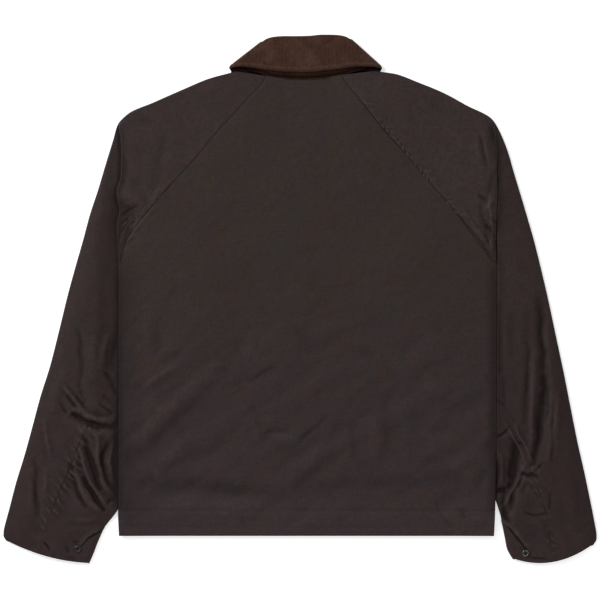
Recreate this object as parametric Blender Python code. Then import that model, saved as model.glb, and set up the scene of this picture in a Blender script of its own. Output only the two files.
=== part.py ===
"""A waxed cotton jacket with raglan sleeves, laid on its front so that its back faces up.

Every piece of cloth is a thin wall. The walls are worked out in millimetres in the garment's own
frame: x runs to the wearer's right from the centre back, y runs up from the hem and z up from the
floor. The layers, from the floor up, are the sleeve's underside, the sleeve's upper side, the
fronts and the back. Above the armhole a tuck lays the sleeve's cap over the lower sleeve.
"""

import math

import bpy
import numpy as np

MM = 0.001

# The place of the garment's frame in the world: its box is centred over the origin.
SHIFT_X = 9.25
SHIFT_Y = -342.8

# Walls
WALL = 1.5  # waxed cotton with its lining pressed to it
CORD_WALL = 2.0  # the collar's corduroy, two layers sewn together
SEAM = 0.15  # half of the gap at a seam
JOG = 1.0  # gap where the body's side starts, under the armhole

# Heights above the floor
YOKE_SLEEVE = 3.5  # the lower sleeve's top, at the shoulder
REST_SLEEVE = 5.2  # the lower sleeve's top, where the body lies on it
YOKE_UNDER = 4.0  # the underside of the cloth that lies on the sleeve, at the shoulder
REST_UNDER = 6.0  # the same lower down
CROWN = 11.0  # the lower sleeve's top, where nothing lies on it
MIDDLE_BACK = 6.8
YOKE_BACK = 8.0
SIDE_BACK = 10.8  # the back's top, where a sleeve lies under it
COLLAR_AXIS = 5.5  # the height that the collar's strip turns about
LEAF_REACH = 5.75  # from that axis to the leaf's face
STAND_REACH = 0.8  # from that axis to the stand's neck side
COLLAR_TILT = 0.3  # how much nearer the front half lies
NECK_HUMP = 1.8  # how much the shoulder rises beside the collar
FLOOR_PAD = 2.4  # the fronts lie this high on the leaf's points
PAD_REACH = 190.0
PAD_START = 520.0  # above the hem
OVERLAP_RISE = 3.0  # the right front lies this high on the left one and its studs
OVERLAP_TOP_RISE = 2.1  # the same above the studs

# Heights above the hem
ARMHOLE = 397.5
SHOULDER_TIP = 596.0
NECK_BACK = 667.0
NECK_FRONT = 590.0

# Ramps from 0 to 1: where each starts and how long it is
YOKE_RAMP = (440.0, 75.0)  # above the hem: the back's middle rises to the yoke
OVER_SLEEVE_RAMP = (-80.0, 100.0)  # past the sleeve's hidden edge: the back rises over it
UNDER_FRONT_RAMP = (-55.0, 43.0)  # the same for the fronts
NECK_RAMP = (55.0, 25.0)  # from the centre: the shoulder rises beside the collar
PUFF_RAMP = (6.0, 28.0)  # outside the body's side: the sleeve rises to its full height
CUFF_PUFF_RAMP = (-60.0, 110.0)  # above the hem: the sleeve is flatter at the cuff
SHOULDER_RAMP = 60.0  # below the shoulder's tip: the sleeve lies flat there
FRONT_HEM_RAMP = 28.0  # above the hem: the fronts lie flatter there
ARMHOLE_RAMP = 30.0  # above the armhole: the fronts leave the sleeve
PAD_SIDE_RAMP = 60.0
PAD_RISE_RAMP = 32.0
OVERLAP_RAMP = (-46.0, 22.0)  # toward the centre: the right front climbs onto the left one
OVERLAP_TOP_RAMP = (-510.0, 30.0)  # down from the neck: the studs start

# Roundness
SLEEVE_SLANT = math.radians(25)  # of the hidden edge, against straight up
OUTER_ROUNDING = 34.0  # from the sleeve's outer edge to its level top
INNER_ROUNDING = 26.0
INNER_LEVEL = 4.0  # the inner edge counts this much further away
CUFF_CLEAR = 20.0  # below this height above the hem, nothing presses on the sleeve
CUFF_PUFF = 0.45  # of the full puff
FRONT_HEM_LIFT = 0.3  # of the fronts' lift over the sleeves
BACK_NECK_BOW = 5.2
FRONT_NECK_BOW = 19.0

# Raglan sections, from the neck to the armhole. seam: the back raglan seam. outer: the sleeve's
# outer edge. inset: how far the cap's folded edge lies inside it. tuck: how far the cloth runs
# back under the cap. front: the front raglan seam, on the floor.
RAGLAN_COLUMNS = ("seam_x", "seam_y", "outer_x", "outer_y", "inset", "tuck", "front_x", "front_y")
RAGLAN = {
    "left": (
        (-59.0, 667.0, -103.0, 673.4, 0.0, 16.0, -80.0, 636.0),
        (-65.0, 656.0, -140.0, 663.8, 0.0, 16.0, -84.0, 620.0),
        (-79.5, 641.0, -182.0, 646.6, 0.0, 16.0, -88.0, 600.0),
        (-96.5, 622.0, -222.5, 628.8, 0.0, 15.0, -92.0, 580.0),
        (-114.0, 603.0, -256.5, 614.2, 0.0, 14.0, -96.0, 560.0),
        (-130.0, 586.0, -274.3, 597.0, 2.5, 12.0, -100.0, 540.0),
        (-140.0, 573.5, -281.3, 574.0, 11.8, 16.0, -103.0, 520.0),
        (-170.0, 538.0, -292.3, 538.0, 21.8, 41.5, -108.0, 495.0),
        (-204.0, 501.5, -303.2, 501.5, 28.2, 71.5, -113.0, 470.0),
        (-235.0, 465.5, -315.0, 465.5, 41.0, 96.0, -118.0, 445.0),
        (-261.0, 429.0, -324.8, 429.0, 51.3, 121.0, -124.0, 420.0),
        (-269.5, 397.5, -333.8, 397.5, 60.3, 142.2, -131.3, 397.5),
    ),
    "right": (
        (50.5, 668.5, 99.0, 674.0, 0.0, 16.0, 80.0, 636.0),
        (60.5, 652.5, 126.5, 670.5, 0.0, 16.0, 84.0, 620.0),
        (74.5, 636.5, 161.5, 658.0, 0.0, 16.0, 88.0, 600.0),
        (90.5, 616.0, 199.0, 642.5, 0.0, 15.0, 92.0, 580.0),
        (107.5, 594.5, 234.0, 623.5, 0.0, 14.0, 96.0, 560.0),
        (122.0, 578.0, 268.0, 606.0, 1.5, 12.0, 100.0, 540.0),
        (139.0, 559.5, 291.5, 559.5, 14.5, 28.0, 103.0, 520.0),
        (163.5, 530.5, 300.0, 530.5, 23.0, 47.0, 108.0, 495.0),
        (191.0, 499.0, 309.5, 499.0, 32.0, 72.0, 113.0, 470.0),
        (220.0, 465.5, 319.5, 465.5, 43.5, 94.0, 118.0, 445.0),
        (246.5, 429.0, 330.0, 429.0, 55.0, 118.0, 124.0, 420.0),
        (270.5, 397.5, 338.0, 397.5, 62.5, 140.2, 135.3, 397.5),
    ),
}

# Tube sections of the lower sleeve, from the armhole to the cuff. bow: how far the section's
# middle sags toward the cuff. seam: the back-arm seam, as a share of the width from the inside.
TUBE_COLUMNS = ("outer_x", "outer_y", "inner_x", "inner_y", "bow", "seam")
TUBE = {
    "left": (
        (-333.8, 397.5, -128.7, 397.5, 0.0, 0.30),
        (-347.0, 349.5, -149.0, 345.0, 0.0, 0.34),
        (-360.0, 296.0, -175.0, 281.5, 0.0, 0.38),
        (-372.6, 246.5, -199.5, 220.5, 0.0, 0.45),
        (-387.2, 200.0, -223.5, 161.0, 1.0, 0.50),
        (-398.8, 156.5, -244.5, 109.0, 1.5, 0.55),
        (-410.0, 116.0, -262.0, 66.5, 2.0, 0.565),
        (-422.0, 77.0, -274.5, 37.0, 3.0, 0.585),
        (-431.5, 40.5, -294.0, 11.5, 4.0, 0.58),
        (-440.0, 7.5, -303.5, -9.0, 5.5, 0.58),
        (-440.5, -5.0, -315.5, -39.8, 6.5, 0.58),
    ),
    "right": (
        (338.0, 397.5, 132.7, 397.5, 0.0, 0.30),
        (350.0, 346.5, 151.0, 348.0, 0.0, 0.34),
        (362.0, 290.0, 176.0, 290.0, 0.0, 0.38),
        (374.0, 233.5, 200.0, 232.0, 0.0, 0.42),
        (384.0, 182.5, 220.0, 180.0, 1.0, 0.45),
        (393.5, 135.0, 239.5, 132.0, 2.0, 0.47),
        (403.0, 93.0, 257.0, 88.5, 4.0, 0.48),
        (411.0, 55.0, 275.5, 49.5, 6.0, 0.505),
        (416.5, 27.5, 282.6, 24.5, 9.0, 0.51),
        (421.0, 1.5, 288.0, -3.0, 11.5, 0.495),
        (420.0, -12.5, 296.5, -33.0, 14.8, 0.52),
    ),
}

# The body's side edges, from the hem up.
SIDE_COLUMNS = ("height", "left", "right")
SIDES = (
    (0.0, -272.5, 272.0),
    (26.0, -273.6, 273.0),
    (80.0, -273.6, 274.5),
    (170.0, -273.6, 274.8),
    (290.0, -273.4, 275.0),
    (397.5, -273.5, 275.5),
)

# Stations round the collar, from the left front edge over the back to the right front edge.
# turn: 180 where the leaf faces the floor, 0 where it faces up. rise: how far it stands off.
COLLAR_COLUMNS = ("edge_x", "edge_y", "roll_x", "roll_y", "neck_x", "neck_y", "turn", "rise")
COLLAR = (
    (-58.0, 560.0, -5.0, 628.0, -3.0, 592.5, 180.0, 0.0),
    (-80.0, 585.0, -22.0, 634.0, -31.0, 600.0, 180.0, 0.0),
    (-97.0, 610.0, -37.0, 650.0, -58.0, 618.0, 180.0, 0.0),
    (-108.0, 642.0, -50.0, 678.0, -73.0, 641.0, 180.0, 0.0),
    (-109.8, 674.5, -66.3, 715.0, -85.0, 675.0, 180.0, 0.0),
    (-110.0, 675.5, -66.3, 715.0, -86.0, 677.0, 120.0, 0.0),
    (-109.2, 677.2, -66.3, 715.0, -86.0, 677.0, 60.0, 0.0),
    (-107.2, 679.2, -66.3, 715.0, -85.0, 675.0, 0.0, 0.8),
    (-97.0, 680.4, -59.5, 719.2, -78.0, 673.0, 0.0, 1.3),
    (-79.0, 679.0, -48.0, 721.8, -68.0, 671.2, 0.0, 1.0),
    (-55.0, 675.3, -34.0, 722.4, -47.0, 666.8, 0.0, 0.3),
    (-27.0, 673.0, -15.0, 722.2, -22.0, 664.6, 0.0, 0.0),
    (0.0, 672.5, 4.0, 722.6, 1.0, 664.0, 0.0, 0.0),
    (25.0, 674.5, 22.0, 724.2, 22.0, 665.2, 0.0, 0.1),
    (50.0, 677.5, 38.0, 724.2, 43.0, 668.8, 0.0, 0.3),
    (74.0, 680.5, 51.0, 723.4, 62.0, 672.0, 0.0, 0.9),
    (95.5, 680.5, 58.5, 722.0, 78.0, 675.0, 0.0, 1.3),
    (102.8, 679.0, 65.0, 718.6, 84.5, 677.0, 0.0, 0.8),
    (105.4, 677.0, 65.0, 718.6, 85.5, 679.0, 60.0, 0.0),
    (107.0, 675.0, 65.0, 718.6, 85.5, 679.0, 120.0, 0.0),
    (107.0, 674.0, 65.0, 718.6, 84.5, 676.0, 180.0, 0.0),
    (106.0, 642.0, 50.0, 678.0, 73.0, 641.0, 180.0, 0.0),
    (97.0, 610.0, 37.0, 650.0, 58.0, 618.0, 180.0, 0.0),
    (80.0, 585.0, 22.0, 634.0, 31.0, 600.0, 180.0, 0.0),
    (58.0, 560.0, 5.0, 628.0, 3.0, 592.5, 180.0, 0.0),
)
LEAF_UNDERTURN = 9.0  # how far the leaf runs on under its roll

# The largest folds, each along a bent line from its start over its middle to its end.
FOLD_COLUMNS = ("x0", "y0", "x1", "y1", "x2", "y2", "half_width", "height")
SLEEVE_FOLDS = {
    "left": (
        (-339, 180, -312, 166, -275, 162, 8.0, -4.5),
        (-345, 206, -331, 183, -298, 175, 8.0, 3.0),
        (-329, 303, -330, 258, -328, 202, 13.0, -2.5),
        (-322, 145, -308, 104, -297, 65, 8.0, -3.2),
        (-306, 132, -296, 96, -284, 58, 8.0, 2.4),
        (-333, 112, -332, 70, -306, 41, 8.0, 2.0),
        (-388, 177, -391, 87, -388, 33, 16.0, -1.5),
    ),
    "right": (
        (338, 244, 342, 190, 332, 133, 9.0, -3.8),
        (330, 219, 327, 154, 321, 107, 8.0, 3.0),
        (319, 238, 316, 200, 308, 150, 9.0, -2.0),
        (295, 196, 296, 150, 321, 104, 8.0, 2.8),
        (299, 139, 305, 100, 288, 42, 10.0, -3.5),
        (315, 97, 300, 64, 282, 44, 7.0, 2.4),
        (282, 43, 290, 17, 321, -17, 7.0, 1.4),
    ),
}
BACK_FOLDS = (
    (254, 578, 258, 560, 262, 545, 14.0, -0.9),
    (219, 467, 250, 440, 276, 398, 12.0, -0.8),
    (-261, 129, -190, 190, -107, 251, 22.0, 0.8),
    (-240, 100, -160, 150, -60, 200, 24.0, -0.7),
    (-242, 72, -120, 76, 5, 70, 18.0, -0.9),
    (60, 120, 150, 150, 230, 210, 26.0, 0.6),
)

# Studs
CUFF_STUDS = {"left": (-332.2, -18.5), "right": (317.5, -25.0)}
CUFF_STUD_RADIUS = 5.5
CUFF_STUD_HEIGHT = 2.2
CUFF_STUD_DISH = 0.9
STUD_GAP = 0.8
CUFF_PAD_RADIUS = 12.0
CUFF_PAD_HEIGHT = 6.4
FRONT_STUD_RADIUS = 5.0
FRONT_STUD_HEIGHT = 0.9
FRONT_STUD_COUNT = 4
FRONT_STUD_LOW = 70.0
FRONT_STUD_PITCH = 120.0
OVERLAP = 20.0  # each front runs this far past the centre
STUD_SIDES = 20

WAX_COLOUR = (0.036, 0.026, 0.024)
CORD_COLOUR = (0.050, 0.026, 0.018)
STUD_COLOUR = (0.20, 0.15, 0.11)


def table(rows, columns):
    """The rows as a dictionary of arrays, one for each named column."""
    return dict(zip(columns, np.array(rows, dtype=float).T))


def smooth(share):
    """Rises from 0 to 1 with level ends."""
    share = np.clip(share, 0.0, 1.0)
    return share * share * (3.0 - 2.0 * share)


def ramp(value, start_and_length):
    """Rises from 0 to 1 over a named ramp."""
    start, length = start_and_length
    return smooth((value - start) / length)


def even_slope(before, after):
    """A slope at a point that never carries the curve past it."""
    same_way = before * after > 0
    total = np.where(same_way, before + after, 1.0)
    return np.where(same_way, 2 * before * after / total, 0.0)


def spline(values, at):
    """A smooth curve through evenly spaced values, read at fractional places."""
    values = np.asarray(values, dtype=float)
    last = len(values) - 1
    low = np.clip(np.floor(at).astype(int), 0, last - 1)
    t = np.asarray(at, dtype=float) - low
    before = values[np.maximum(low - 1, 0)]
    first = values[low]
    second = values[low + 1]
    after = values[np.minimum(low + 2, last)]
    slope_a = even_slope(first - before, second - first)
    slope_b = even_slope(second - first, after - second)
    cube = 2 * (first - second) + slope_a + slope_b
    square = 3 * (second - first) - 2 * slope_a - slope_b
    return ((cube * t + square) * t + slope_a) * t + first


def finer(rows, columns, count):
    """The named columns read at evenly spread places along the rows."""
    at = np.linspace(0, len(rows) - 1, count)
    return {name: spline(values, at) for name, values in table(rows, columns).items()}


def fold_relief(folds, x, y):
    """The height that soft ridges and troughs add, each fading at its ends."""
    x, y = np.broadcast_arrays(np.asarray(x, dtype=float), np.asarray(y, dtype=float))
    total = np.zeros(x.shape)
    steps = np.linspace(0, 1, 13)
    for x0, y0, x1, y1, x2, y2, half_width, height in folds:
        line_x = (1 - steps) ** 2 * x0 + 2 * steps * (1 - steps) * x1 + steps**2 * x2
        line_y = (1 - steps) ** 2 * y0 + 2 * steps * (1 - steps) * y1 + steps**2 * y2
        away = (x[..., None] - line_x) ** 2 + (y[..., None] - line_y) ** 2
        near = np.argmin(away, axis=-1)
        fade = np.sin(math.pi * np.clip(steps[near], 0.06, 0.94)) ** 0.6
        total += height * fade * np.exp(-away.min(axis=-1) / half_width**2)
    return total


def inner_line(side):
    """The hidden edge of the lower sleeve: distance from the centre at rising heights."""
    tube = table(TUBE[side], TUBE_COLUMNS)
    raglan = table(RAGLAN[side], RAGLAN_COLUMNS)
    crease = np.abs(raglan["outer_x"]) - raglan["inset"] - raglan["tuck"]
    below = slice(5, 11)
    heights = np.concatenate([tube["inner_y"][::-1], raglan["outer_y"][below][::-1]])
    reach = np.concatenate([np.abs(tube["inner_x"])[::-1], crease[below][::-1]])
    return heights, reach


def past_inner_line(side, x, y):
    """How far a point lies outside the hidden edge of the lower sleeve."""
    sign = -1 if side == "left" else 1
    heights, reach = inner_line(side)
    return (sign * x - np.interp(y, heights, reach)) * math.cos(SLEEVE_SLANT)


def shoulder_share(y):
    """0 on the yoke, 1 well below the shoulder's tip."""
    return smooth((SHOULDER_TIP + INNER_LEVEL - y) / SHOULDER_RAMP)


def top_height(x, y):
    """The top of the back and of the sleeves' caps."""
    base = MIDDLE_BACK + (YOKE_BACK - MIDDLE_BACK) * ramp(y, YOKE_RAMP)
    over = sum(ramp(past_inner_line(side, x, y), OVER_SLEEVE_RAMP) for side in TUBE)
    lift = (SIDE_BACK - base) * over * shoulder_share(y)
    neck = NECK_HUMP * ramp(np.abs(x), NECK_RAMP) * floor_height(x, y) / FLOOR_PAD
    return base + lift + neck + fold_relief(BACK_FOLDS, x, y)


def under_height(x, y):
    """The underside of the cloth that lies on the lower sleeve."""
    rest = YOKE_UNDER + (REST_UNDER - YOKE_UNDER) * shoulder_share(y)
    return rest + floor_height(x, y)


def floor_height(x, y):
    """The underside of the fronts and of the sleeve's floor side, over the collar's leaf."""
    across = smooth((PAD_REACH - np.abs(x)) / PAD_SIDE_RAMP)
    return FLOOR_PAD * across * smooth((y - PAD_START) / PAD_RISE_RAMP)


def front_height(x, y):
    """The underside of the fronts: on the floor, on the leaf or on the lower sleeves."""
    lift = np.zeros(np.broadcast(x, y).shape)
    for side in TUBE:
        lift = lift + ramp(past_inner_line(side, x, y), UNDER_FRONT_RAMP)
    lift = lift * smooth((ARMHOLE + ARMHOLE_RAMP - y) / ARMHOLE_RAMP)
    lift = lift * (FRONT_HEM_LIFT + (1 - FRONT_HEM_LIFT) * smooth(y / FRONT_HEM_RAMP))
    return np.maximum(floor_height(x, y), REST_UNDER * lift)


def side_edge(side, y):
    """The distance of the body's side edge, and of the cap's folded edge, from the centre."""
    sides = table(SIDES, SIDE_COLUMNS)
    raglan = table(RAGLAN[side], RAGLAN_COLUMNS)
    fold = np.abs(raglan["outer_x"]) - raglan["inset"]
    below = slice(5, 11)
    heights = np.concatenate([sides["height"], raglan["outer_y"][below][::-1]])
    return np.interp(y, heights, np.concatenate([np.abs(sides[side]), fold[below][::-1]]))


def sleeve_height(side, x, y, from_outer, from_inner):
    """The top of the lower sleeve: pressed flat under the body, puffed up outside it."""
    sign = -1 if side == "left" else 1
    rest = YOKE_SLEEVE + (REST_SLEEVE - YOKE_SLEEVE) * shoulder_share(y) + floor_height(x, y)
    clear = ramp(sign * x - side_edge(side, y), PUFF_RAMP)
    clear = np.maximum(clear, smooth((CUFF_CLEAR - y) / (2 * CUFF_CLEAR)))
    rounded = 1 - np.clip(1 - from_outer / OUTER_ROUNDING, 0, 1) ** 2
    rounded = rounded * (1 - np.clip(1 - from_inner / INNER_ROUNDING, 0, 1) ** 2)
    puff = (CROWN - REST_SLEEVE) * (CUFF_PUFF + (1 - CUFF_PUFF) * ramp(y, CUFF_PUFF_RAMP))
    folds = fold_relief(SLEEVE_FOLDS[side], x, y)
    height = rest + clear * rounded * (puff + folds)
    stud_x, stud_y = CUFF_STUDS[side]
    pad = smooth(1.9 - np.hypot(x - stud_x, y - stud_y) / CUFF_PAD_RADIUS)
    return height + (CUFF_PAD_HEIGHT - height) * pad


def half_turn(centre, out, reach, axis_z, radius, angles, hollow=False):
    """Points and outward normals round a fold, from its upper face to its lower one."""
    cosine, sine = np.cos(angles)[:, None], np.sin(angles)
    plan = centre + out * reach * cosine
    points = np.column_stack([plan, axis_z + radius * sine])
    normals = np.column_stack([np.broadcast_to(out, plan.shape) * cosine, sine])
    return points, -normals if hollow else normals


def level(plan, height, up):
    """Points of a flat layer of cloth, with normals straight up or down."""
    normals = np.tile([0.0, 0.0, 1.0 if up else -1.0], (len(plan), 1))
    return np.column_stack([plan, height(plan[:, 0], plan[:, 1])]), normals


def sagged(start, end, share, bow=0.0):
    """Places between two points, with the middle let down toward the cuff or the hem."""
    share = np.asarray(share)[:, None]
    plan = start + (end - start) * share
    plan[:, 1] -= bow * 4 * share[:, 0] * (1 - share[:, 0])
    return plan


TURN = {
    "fold": np.radians([90, 55, 20, -20, -55, -90]),
    "crease": np.radians([90, 0, -90]),
    "edge": np.radians([90, 50, 15, -15, -50, -90]),
}
LEAST_CROSSING = 0.36  # keeps a fold's width within bounds where it runs along the section
CAP_COLUMNS = 6
UNDERLAP_COLUMNS = 4
UPPER_COLUMNS = (5, 9)
LOWER_COLUMNS = (4, 3)


def skew(direction, points, index):
    """How much longer a fold's width is along a section than square to the folded edge."""
    along = np.gradient(points, axis=0)[index]
    along = along / max(np.linalg.norm(along), 1e-9)
    crossing = abs(direction[0] * along[1] - direction[1] * along[0])
    return 1 / max(crossing, LEAST_CROSSING)


def join(parts):
    """Points and normals of a section's parts, one after the other."""
    return np.concatenate([p for p, _ in parts]), np.concatenate([n for _, n in parts])


def lower_parts(side, upper_start, outer, lower_end, stretch, bow, seam, close):
    """A section's lower sleeve: over the top, round the outer edge and back along the floor."""
    width = np.linalg.norm(outer - upper_start)
    out = (outer - upper_start) / width

    def height(x, y):
        from_outer = ((outer[0] - x) * out[0] + (outer[1] - y) * out[1]) / stretch
        return sleeve_height(side, x, y, from_outer, width / stretch - from_outer + INNER_LEVEL)

    edge_z = float(height(outer[0], outer[1]))
    turn = outer - out * stretch * edge_z / 2
    gap = SEAM / width
    share = np.concatenate([
        np.linspace(0, seam, UPPER_COLUMNS[0])[:-1],
        [seam - gap, seam + gap],
        np.linspace(seam, 1, UPPER_COLUMNS[1])[1:-1],
    ])
    upper = level(sagged(upper_start, turn, share, bow), height, True)
    floor_z = float(floor_height(turn[0], turn[1]))
    radius = (edge_z - floor_z) / 2
    edge = half_turn(turn, out, radius * stretch, edge_z - radius, radius, TURN["edge"])
    share = np.concatenate([
        np.linspace(0, 1 - seam, LOWER_COLUMNS[0])[1:-1],
        [1 - seam - gap, 1 - seam + gap],
        np.linspace(1 - seam, 1, LOWER_COLUMNS[1])[1:],
    ])
    lower = level(sagged(turn, lower_end, share, bow), floor_height, False)
    if not close:
        return [upper, edge, lower]
    low, high = lower[0][-1, 2], upper[0][0, 2]
    radius = (high - low) / 2
    angles = -TURN["edge"][1:-1]
    return [upper, edge, lower, half_turn(upper_start, -out, radius, high - radius, radius, angles)]


def raglan_section(side, row, index, rows):
    """Cap, fold, underlap, crease, upper and lower side of the sleeve above the armhole."""
    seam = np.array([row["seam_x"], row["seam_y"]])
    outer = np.array([row["outer_x"], row["outer_y"]])
    out = (outer - seam) / np.linalg.norm(outer - seam)
    fold = outer - out * row["inset"]
    crease = fold - out * row["tuck"]
    front = np.array([row["front_x"], row["front_y"]])
    outers = np.column_stack([rows["outer_x"], rows["outer_y"]])
    directions = outers - np.column_stack([rows["seam_x"], rows["seam_y"]])
    directions = directions / np.linalg.norm(directions, axis=1)[:, None]
    fold_stretch = skew(out, outers - directions * rows["inset"][:, None], index)
    outer_stretch = skew(out, outers, index)
    under_z = float(under_height(*fold))
    radius = (float(top_height(*fold)) - under_z) / 2
    turn = fold - out * radius * fold_stretch
    share = np.linspace(0, 1, CAP_COLUMNS)[:-1]
    cap = level(sagged(seam + out * SEAM, turn, share), top_height, True)
    bend = half_turn(turn, out, radius * fold_stretch, under_z + radius, radius, TURN["fold"])
    share = np.linspace(0, 1, UNDERLAP_COLUMNS)[1:-1]
    underlap = level(sagged(turn, crease, share), under_height, False)
    lower = lower_parts(
        side, crease, outer, front, outer_stretch, 0.0, TUBE[side][0][-1], False
    )
    low, high = lower[0][0][0, 2], float(under_height(*crease))
    radius = (high - low) / 2
    angles = TURN["crease"][:-1]
    inner = half_turn(crease, -out, radius, high - radius, radius, angles, hollow=True)
    return join([cap, bend, underlap, inner]), join(lower)


def tube_section(side, row, index, rows):
    """Upper side, outer edge, lower side and inner edge of the sleeve below the armhole."""
    outer = np.array([row["outer_x"], row["outer_y"]])
    inner = np.array([row["inner_x"], row["inner_y"]])
    out = (outer - inner) / np.linalg.norm(outer - inner)
    outers = np.column_stack([rows["outer_x"], rows["outer_y"]])
    start = inner + out * REST_SLEEVE / 2
    stretch = skew(out, outers, index)
    seam = row["seam"]
    return join(lower_parts(side, start, outer, start, stretch, row["bow"], seam, True))


def strip_quads(grid):
    """Faces between neighbouring rows and columns of a table of point numbers."""
    corners = (grid[:-1, :-1], grid[:-1, 1:], grid[1:, 1:], grid[1:, :-1])
    return np.stack([c.ravel() for c in corners], axis=1)


def wall(outer, normals, quads, thickness, flip):
    """A closed wall: the outer faces, the inner ones and a rim along every open edge."""
    inner = outer - normals * thickness
    count = len(outer)
    quads = quads[:, ::-1] if flip else quads
    ends = np.concatenate([quads[:, [i, (i + 1) % 4]] for i in range(4)])
    used = set(map(tuple, ends.tolist()))
    rim = np.array(sorted((a, b) for a, b in used if (b, a) not in used))
    first, second = rim.T
    faces = np.concatenate([
        quads[:, [0, 1, 2]],
        quads[:, [0, 2, 3]],
        quads[:, [2, 1, 0]] + count,
        quads[:, [3, 2, 0]] + count,
        np.stack([second, first, first + count], axis=1),
        np.stack([second, first + count, second + count], axis=1),
    ])
    return np.concatenate([outer, inner]), faces


def add_object(name, points, faces, material):
    """A mesh object from points in the garment's frame, with unused points left out."""
    used, numbers = np.unique(faces, return_inverse=True)
    numbers = numbers.reshape(faces.shape)
    placed = (points[used] + (SHIFT_X, SHIFT_Y, 0.0)) * MM
    mesh = bpy.data.meshes.new(name)
    mesh.from_pydata(placed.tolist(), [], numbers.tolist())
    mesh.materials.append(material)
    mesh.shade_smooth()
    mesh.set_sharp_from_angle(angle=SHARP_ANGLE)
    obj = bpy.data.objects.new(name, mesh)
    bpy.context.collection.objects.link(obj)


def make_material(name, colour, roughness, metallic=0.0):
    """A plain surface of one colour."""
    material = bpy.data.materials.new(name)
    material.use_nodes = True
    shader = material.node_tree.nodes["Principled BSDF"]
    shader.inputs["Base Color"].default_value = (*colour, 1.0)
    shader.inputs["Roughness"].default_value = roughness
    shader.inputs["Metallic"].default_value = metallic
    return material


SHARP_ANGLE = math.radians(45)
RAGLAN_ROWS = 12
TUBE_ROWS = 21


def row_at(rows, index):
    """One section of a table of columns."""
    return {name: values[index] for name, values in rows.items()}


def gather(sections):
    """All points and normals of a list of sections, and how many points each section has."""
    return (
        np.concatenate([points for points, _ in sections]),
        np.concatenate([normals for _, normals in sections]),
        len(sections[0][0]),
    )


def build_sleeve(side, material):
    """The top sleeve and the strip set in along the inside of the arm."""
    raglan = finer(RAGLAN[side], RAGLAN_COLUMNS, RAGLAN_ROWS)
    tube = finer(TUBE[side], TUBE_COLUMNS, TUBE_ROWS)
    sections = [
        raglan_section(side, row_at(raglan, index), index, raglan) for index in range(RAGLAN_ROWS)
    ]
    rings = [tube_section(side, row_at(tube, index), index, tube) for index in range(TUBE_ROWS)]
    cap_points, cap_normals, cap_width = gather([cap for cap, _ in sections])
    rest_points, rest_normals, rest_width = gather([rest for _, rest in sections])
    ring_points, ring_normals, _ = gather(rings)
    points = np.concatenate([cap_points, rest_points, ring_points])
    normals = np.concatenate([cap_normals, rest_normals, ring_normals])
    cap_ids = np.arange(len(cap_points)).reshape(-1, cap_width)
    rest_ids = cap_ids.size + np.arange(len(rest_points)).reshape(-1, rest_width)
    ring_start = cap_ids.size + rest_ids.size
    ring_ids = ring_start + np.arange(len(ring_points)).reshape(TUBE_ROWS, -1)
    ring_ids[0, :rest_width] = rest_ids[-1]
    seam_upper = UPPER_COLUMNS[0] - 1
    seam_lower = sum(UPPER_COLUMNS) - 1 + len(TURN["edge"]) + LOWER_COLUMNS[0] - 2
    top_quads = np.concatenate([
        strip_quads(np.concatenate([cap_ids, rest_ids], axis=1)),
        strip_quads(ring_ids[:, seam_upper + 1 : seam_lower + 1]),
    ])
    flip = side == "right"
    add_object(f"sleeve_{side}", *wall(points, normals, top_quads, WALL, flip), material)
    around = np.concatenate([ring_ids[:, seam_lower + 1 :], ring_ids[:, : seam_upper + 1]], axis=1)
    first, second = points[around[0]], points[around[1]]
    step = (second - first) / np.linalg.norm(second - first, axis=1)[:, None]
    fresh = len(points) + np.arange(len(first))
    under_quads = strip_quads(np.concatenate([fresh[None, :], around[1:]]))
    under = wall(
        np.concatenate([points, first + step * 2 * SEAM]),
        np.concatenate([normals, normals[around[0]]]),
        under_quads, WALL, flip,
    )
    add_object(f"undersleeve_{side}", *under, material)
    return raglan


BACK_HEIGHTS = (0.0, 13.0, 38.0, 66.0, 98.0, 132.0, 168.0, 206.0, 246.0, 286.0, 326.0, 364.0)
FRONT_HEIGHTS = (0.0, 13.0, 38.0, 66.0, 132.0, 206.0, 286.0, 364.0)
BACK_COLUMNS = 17
SIDE_REACH = 3.0  # the width of the rolled side edge
SIDE_TURN = np.radians([4.5, 30, 60])
NECK_CURVE_RAMP = (0.7, 0.3)  # up the yoke, as shares: the rows take on the neck seam's curve


def back_row(left, right, bow):
    """One row of the back between the raglan seams."""
    start = left + (SIDE_REACH, 0)
    end = right - (SIDE_REACH, 0)
    edge = np.linspace(0, 1, len(SIDE_TURN) + 1)[:-1, None]
    middle = sagged(start, end, np.linspace(0, 1, BACK_COLUMNS))
    plan = np.concatenate([
        left + (start - left) * edge, middle, (right + (end - right) * edge)[::-1],
    ])
    across = (plan[:, 0] - left[0]) / (right[0] - left[0])
    plan[:, 1] -= bow * 4 * across * (1 - across)
    return level(plan, top_height, True)


def rolled_row(left, right):
    """One row of the back below the armhole, its side edges rolled down to the fronts."""
    start = left + (SIDE_REACH, 0)
    end = right - (SIDE_REACH, 0)
    bends = []
    for point, way in ((start, -1.0), (end, 1.0)):
        top = float(top_height(*point))
        radius = (top - float(front_height(*point))) / 2
        out = np.array([way, 0.0])
        bends.append(half_turn(point, out, SIDE_REACH, top - radius, radius, SIDE_TURN))
    middle = level(sagged(start, end, np.linspace(0, 1, BACK_COLUMNS)), top_height, True)
    (first, first_up), (last, last_up) = bends
    return join([(first, first_up), middle, (last[::-1], last_up[::-1])])


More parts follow.
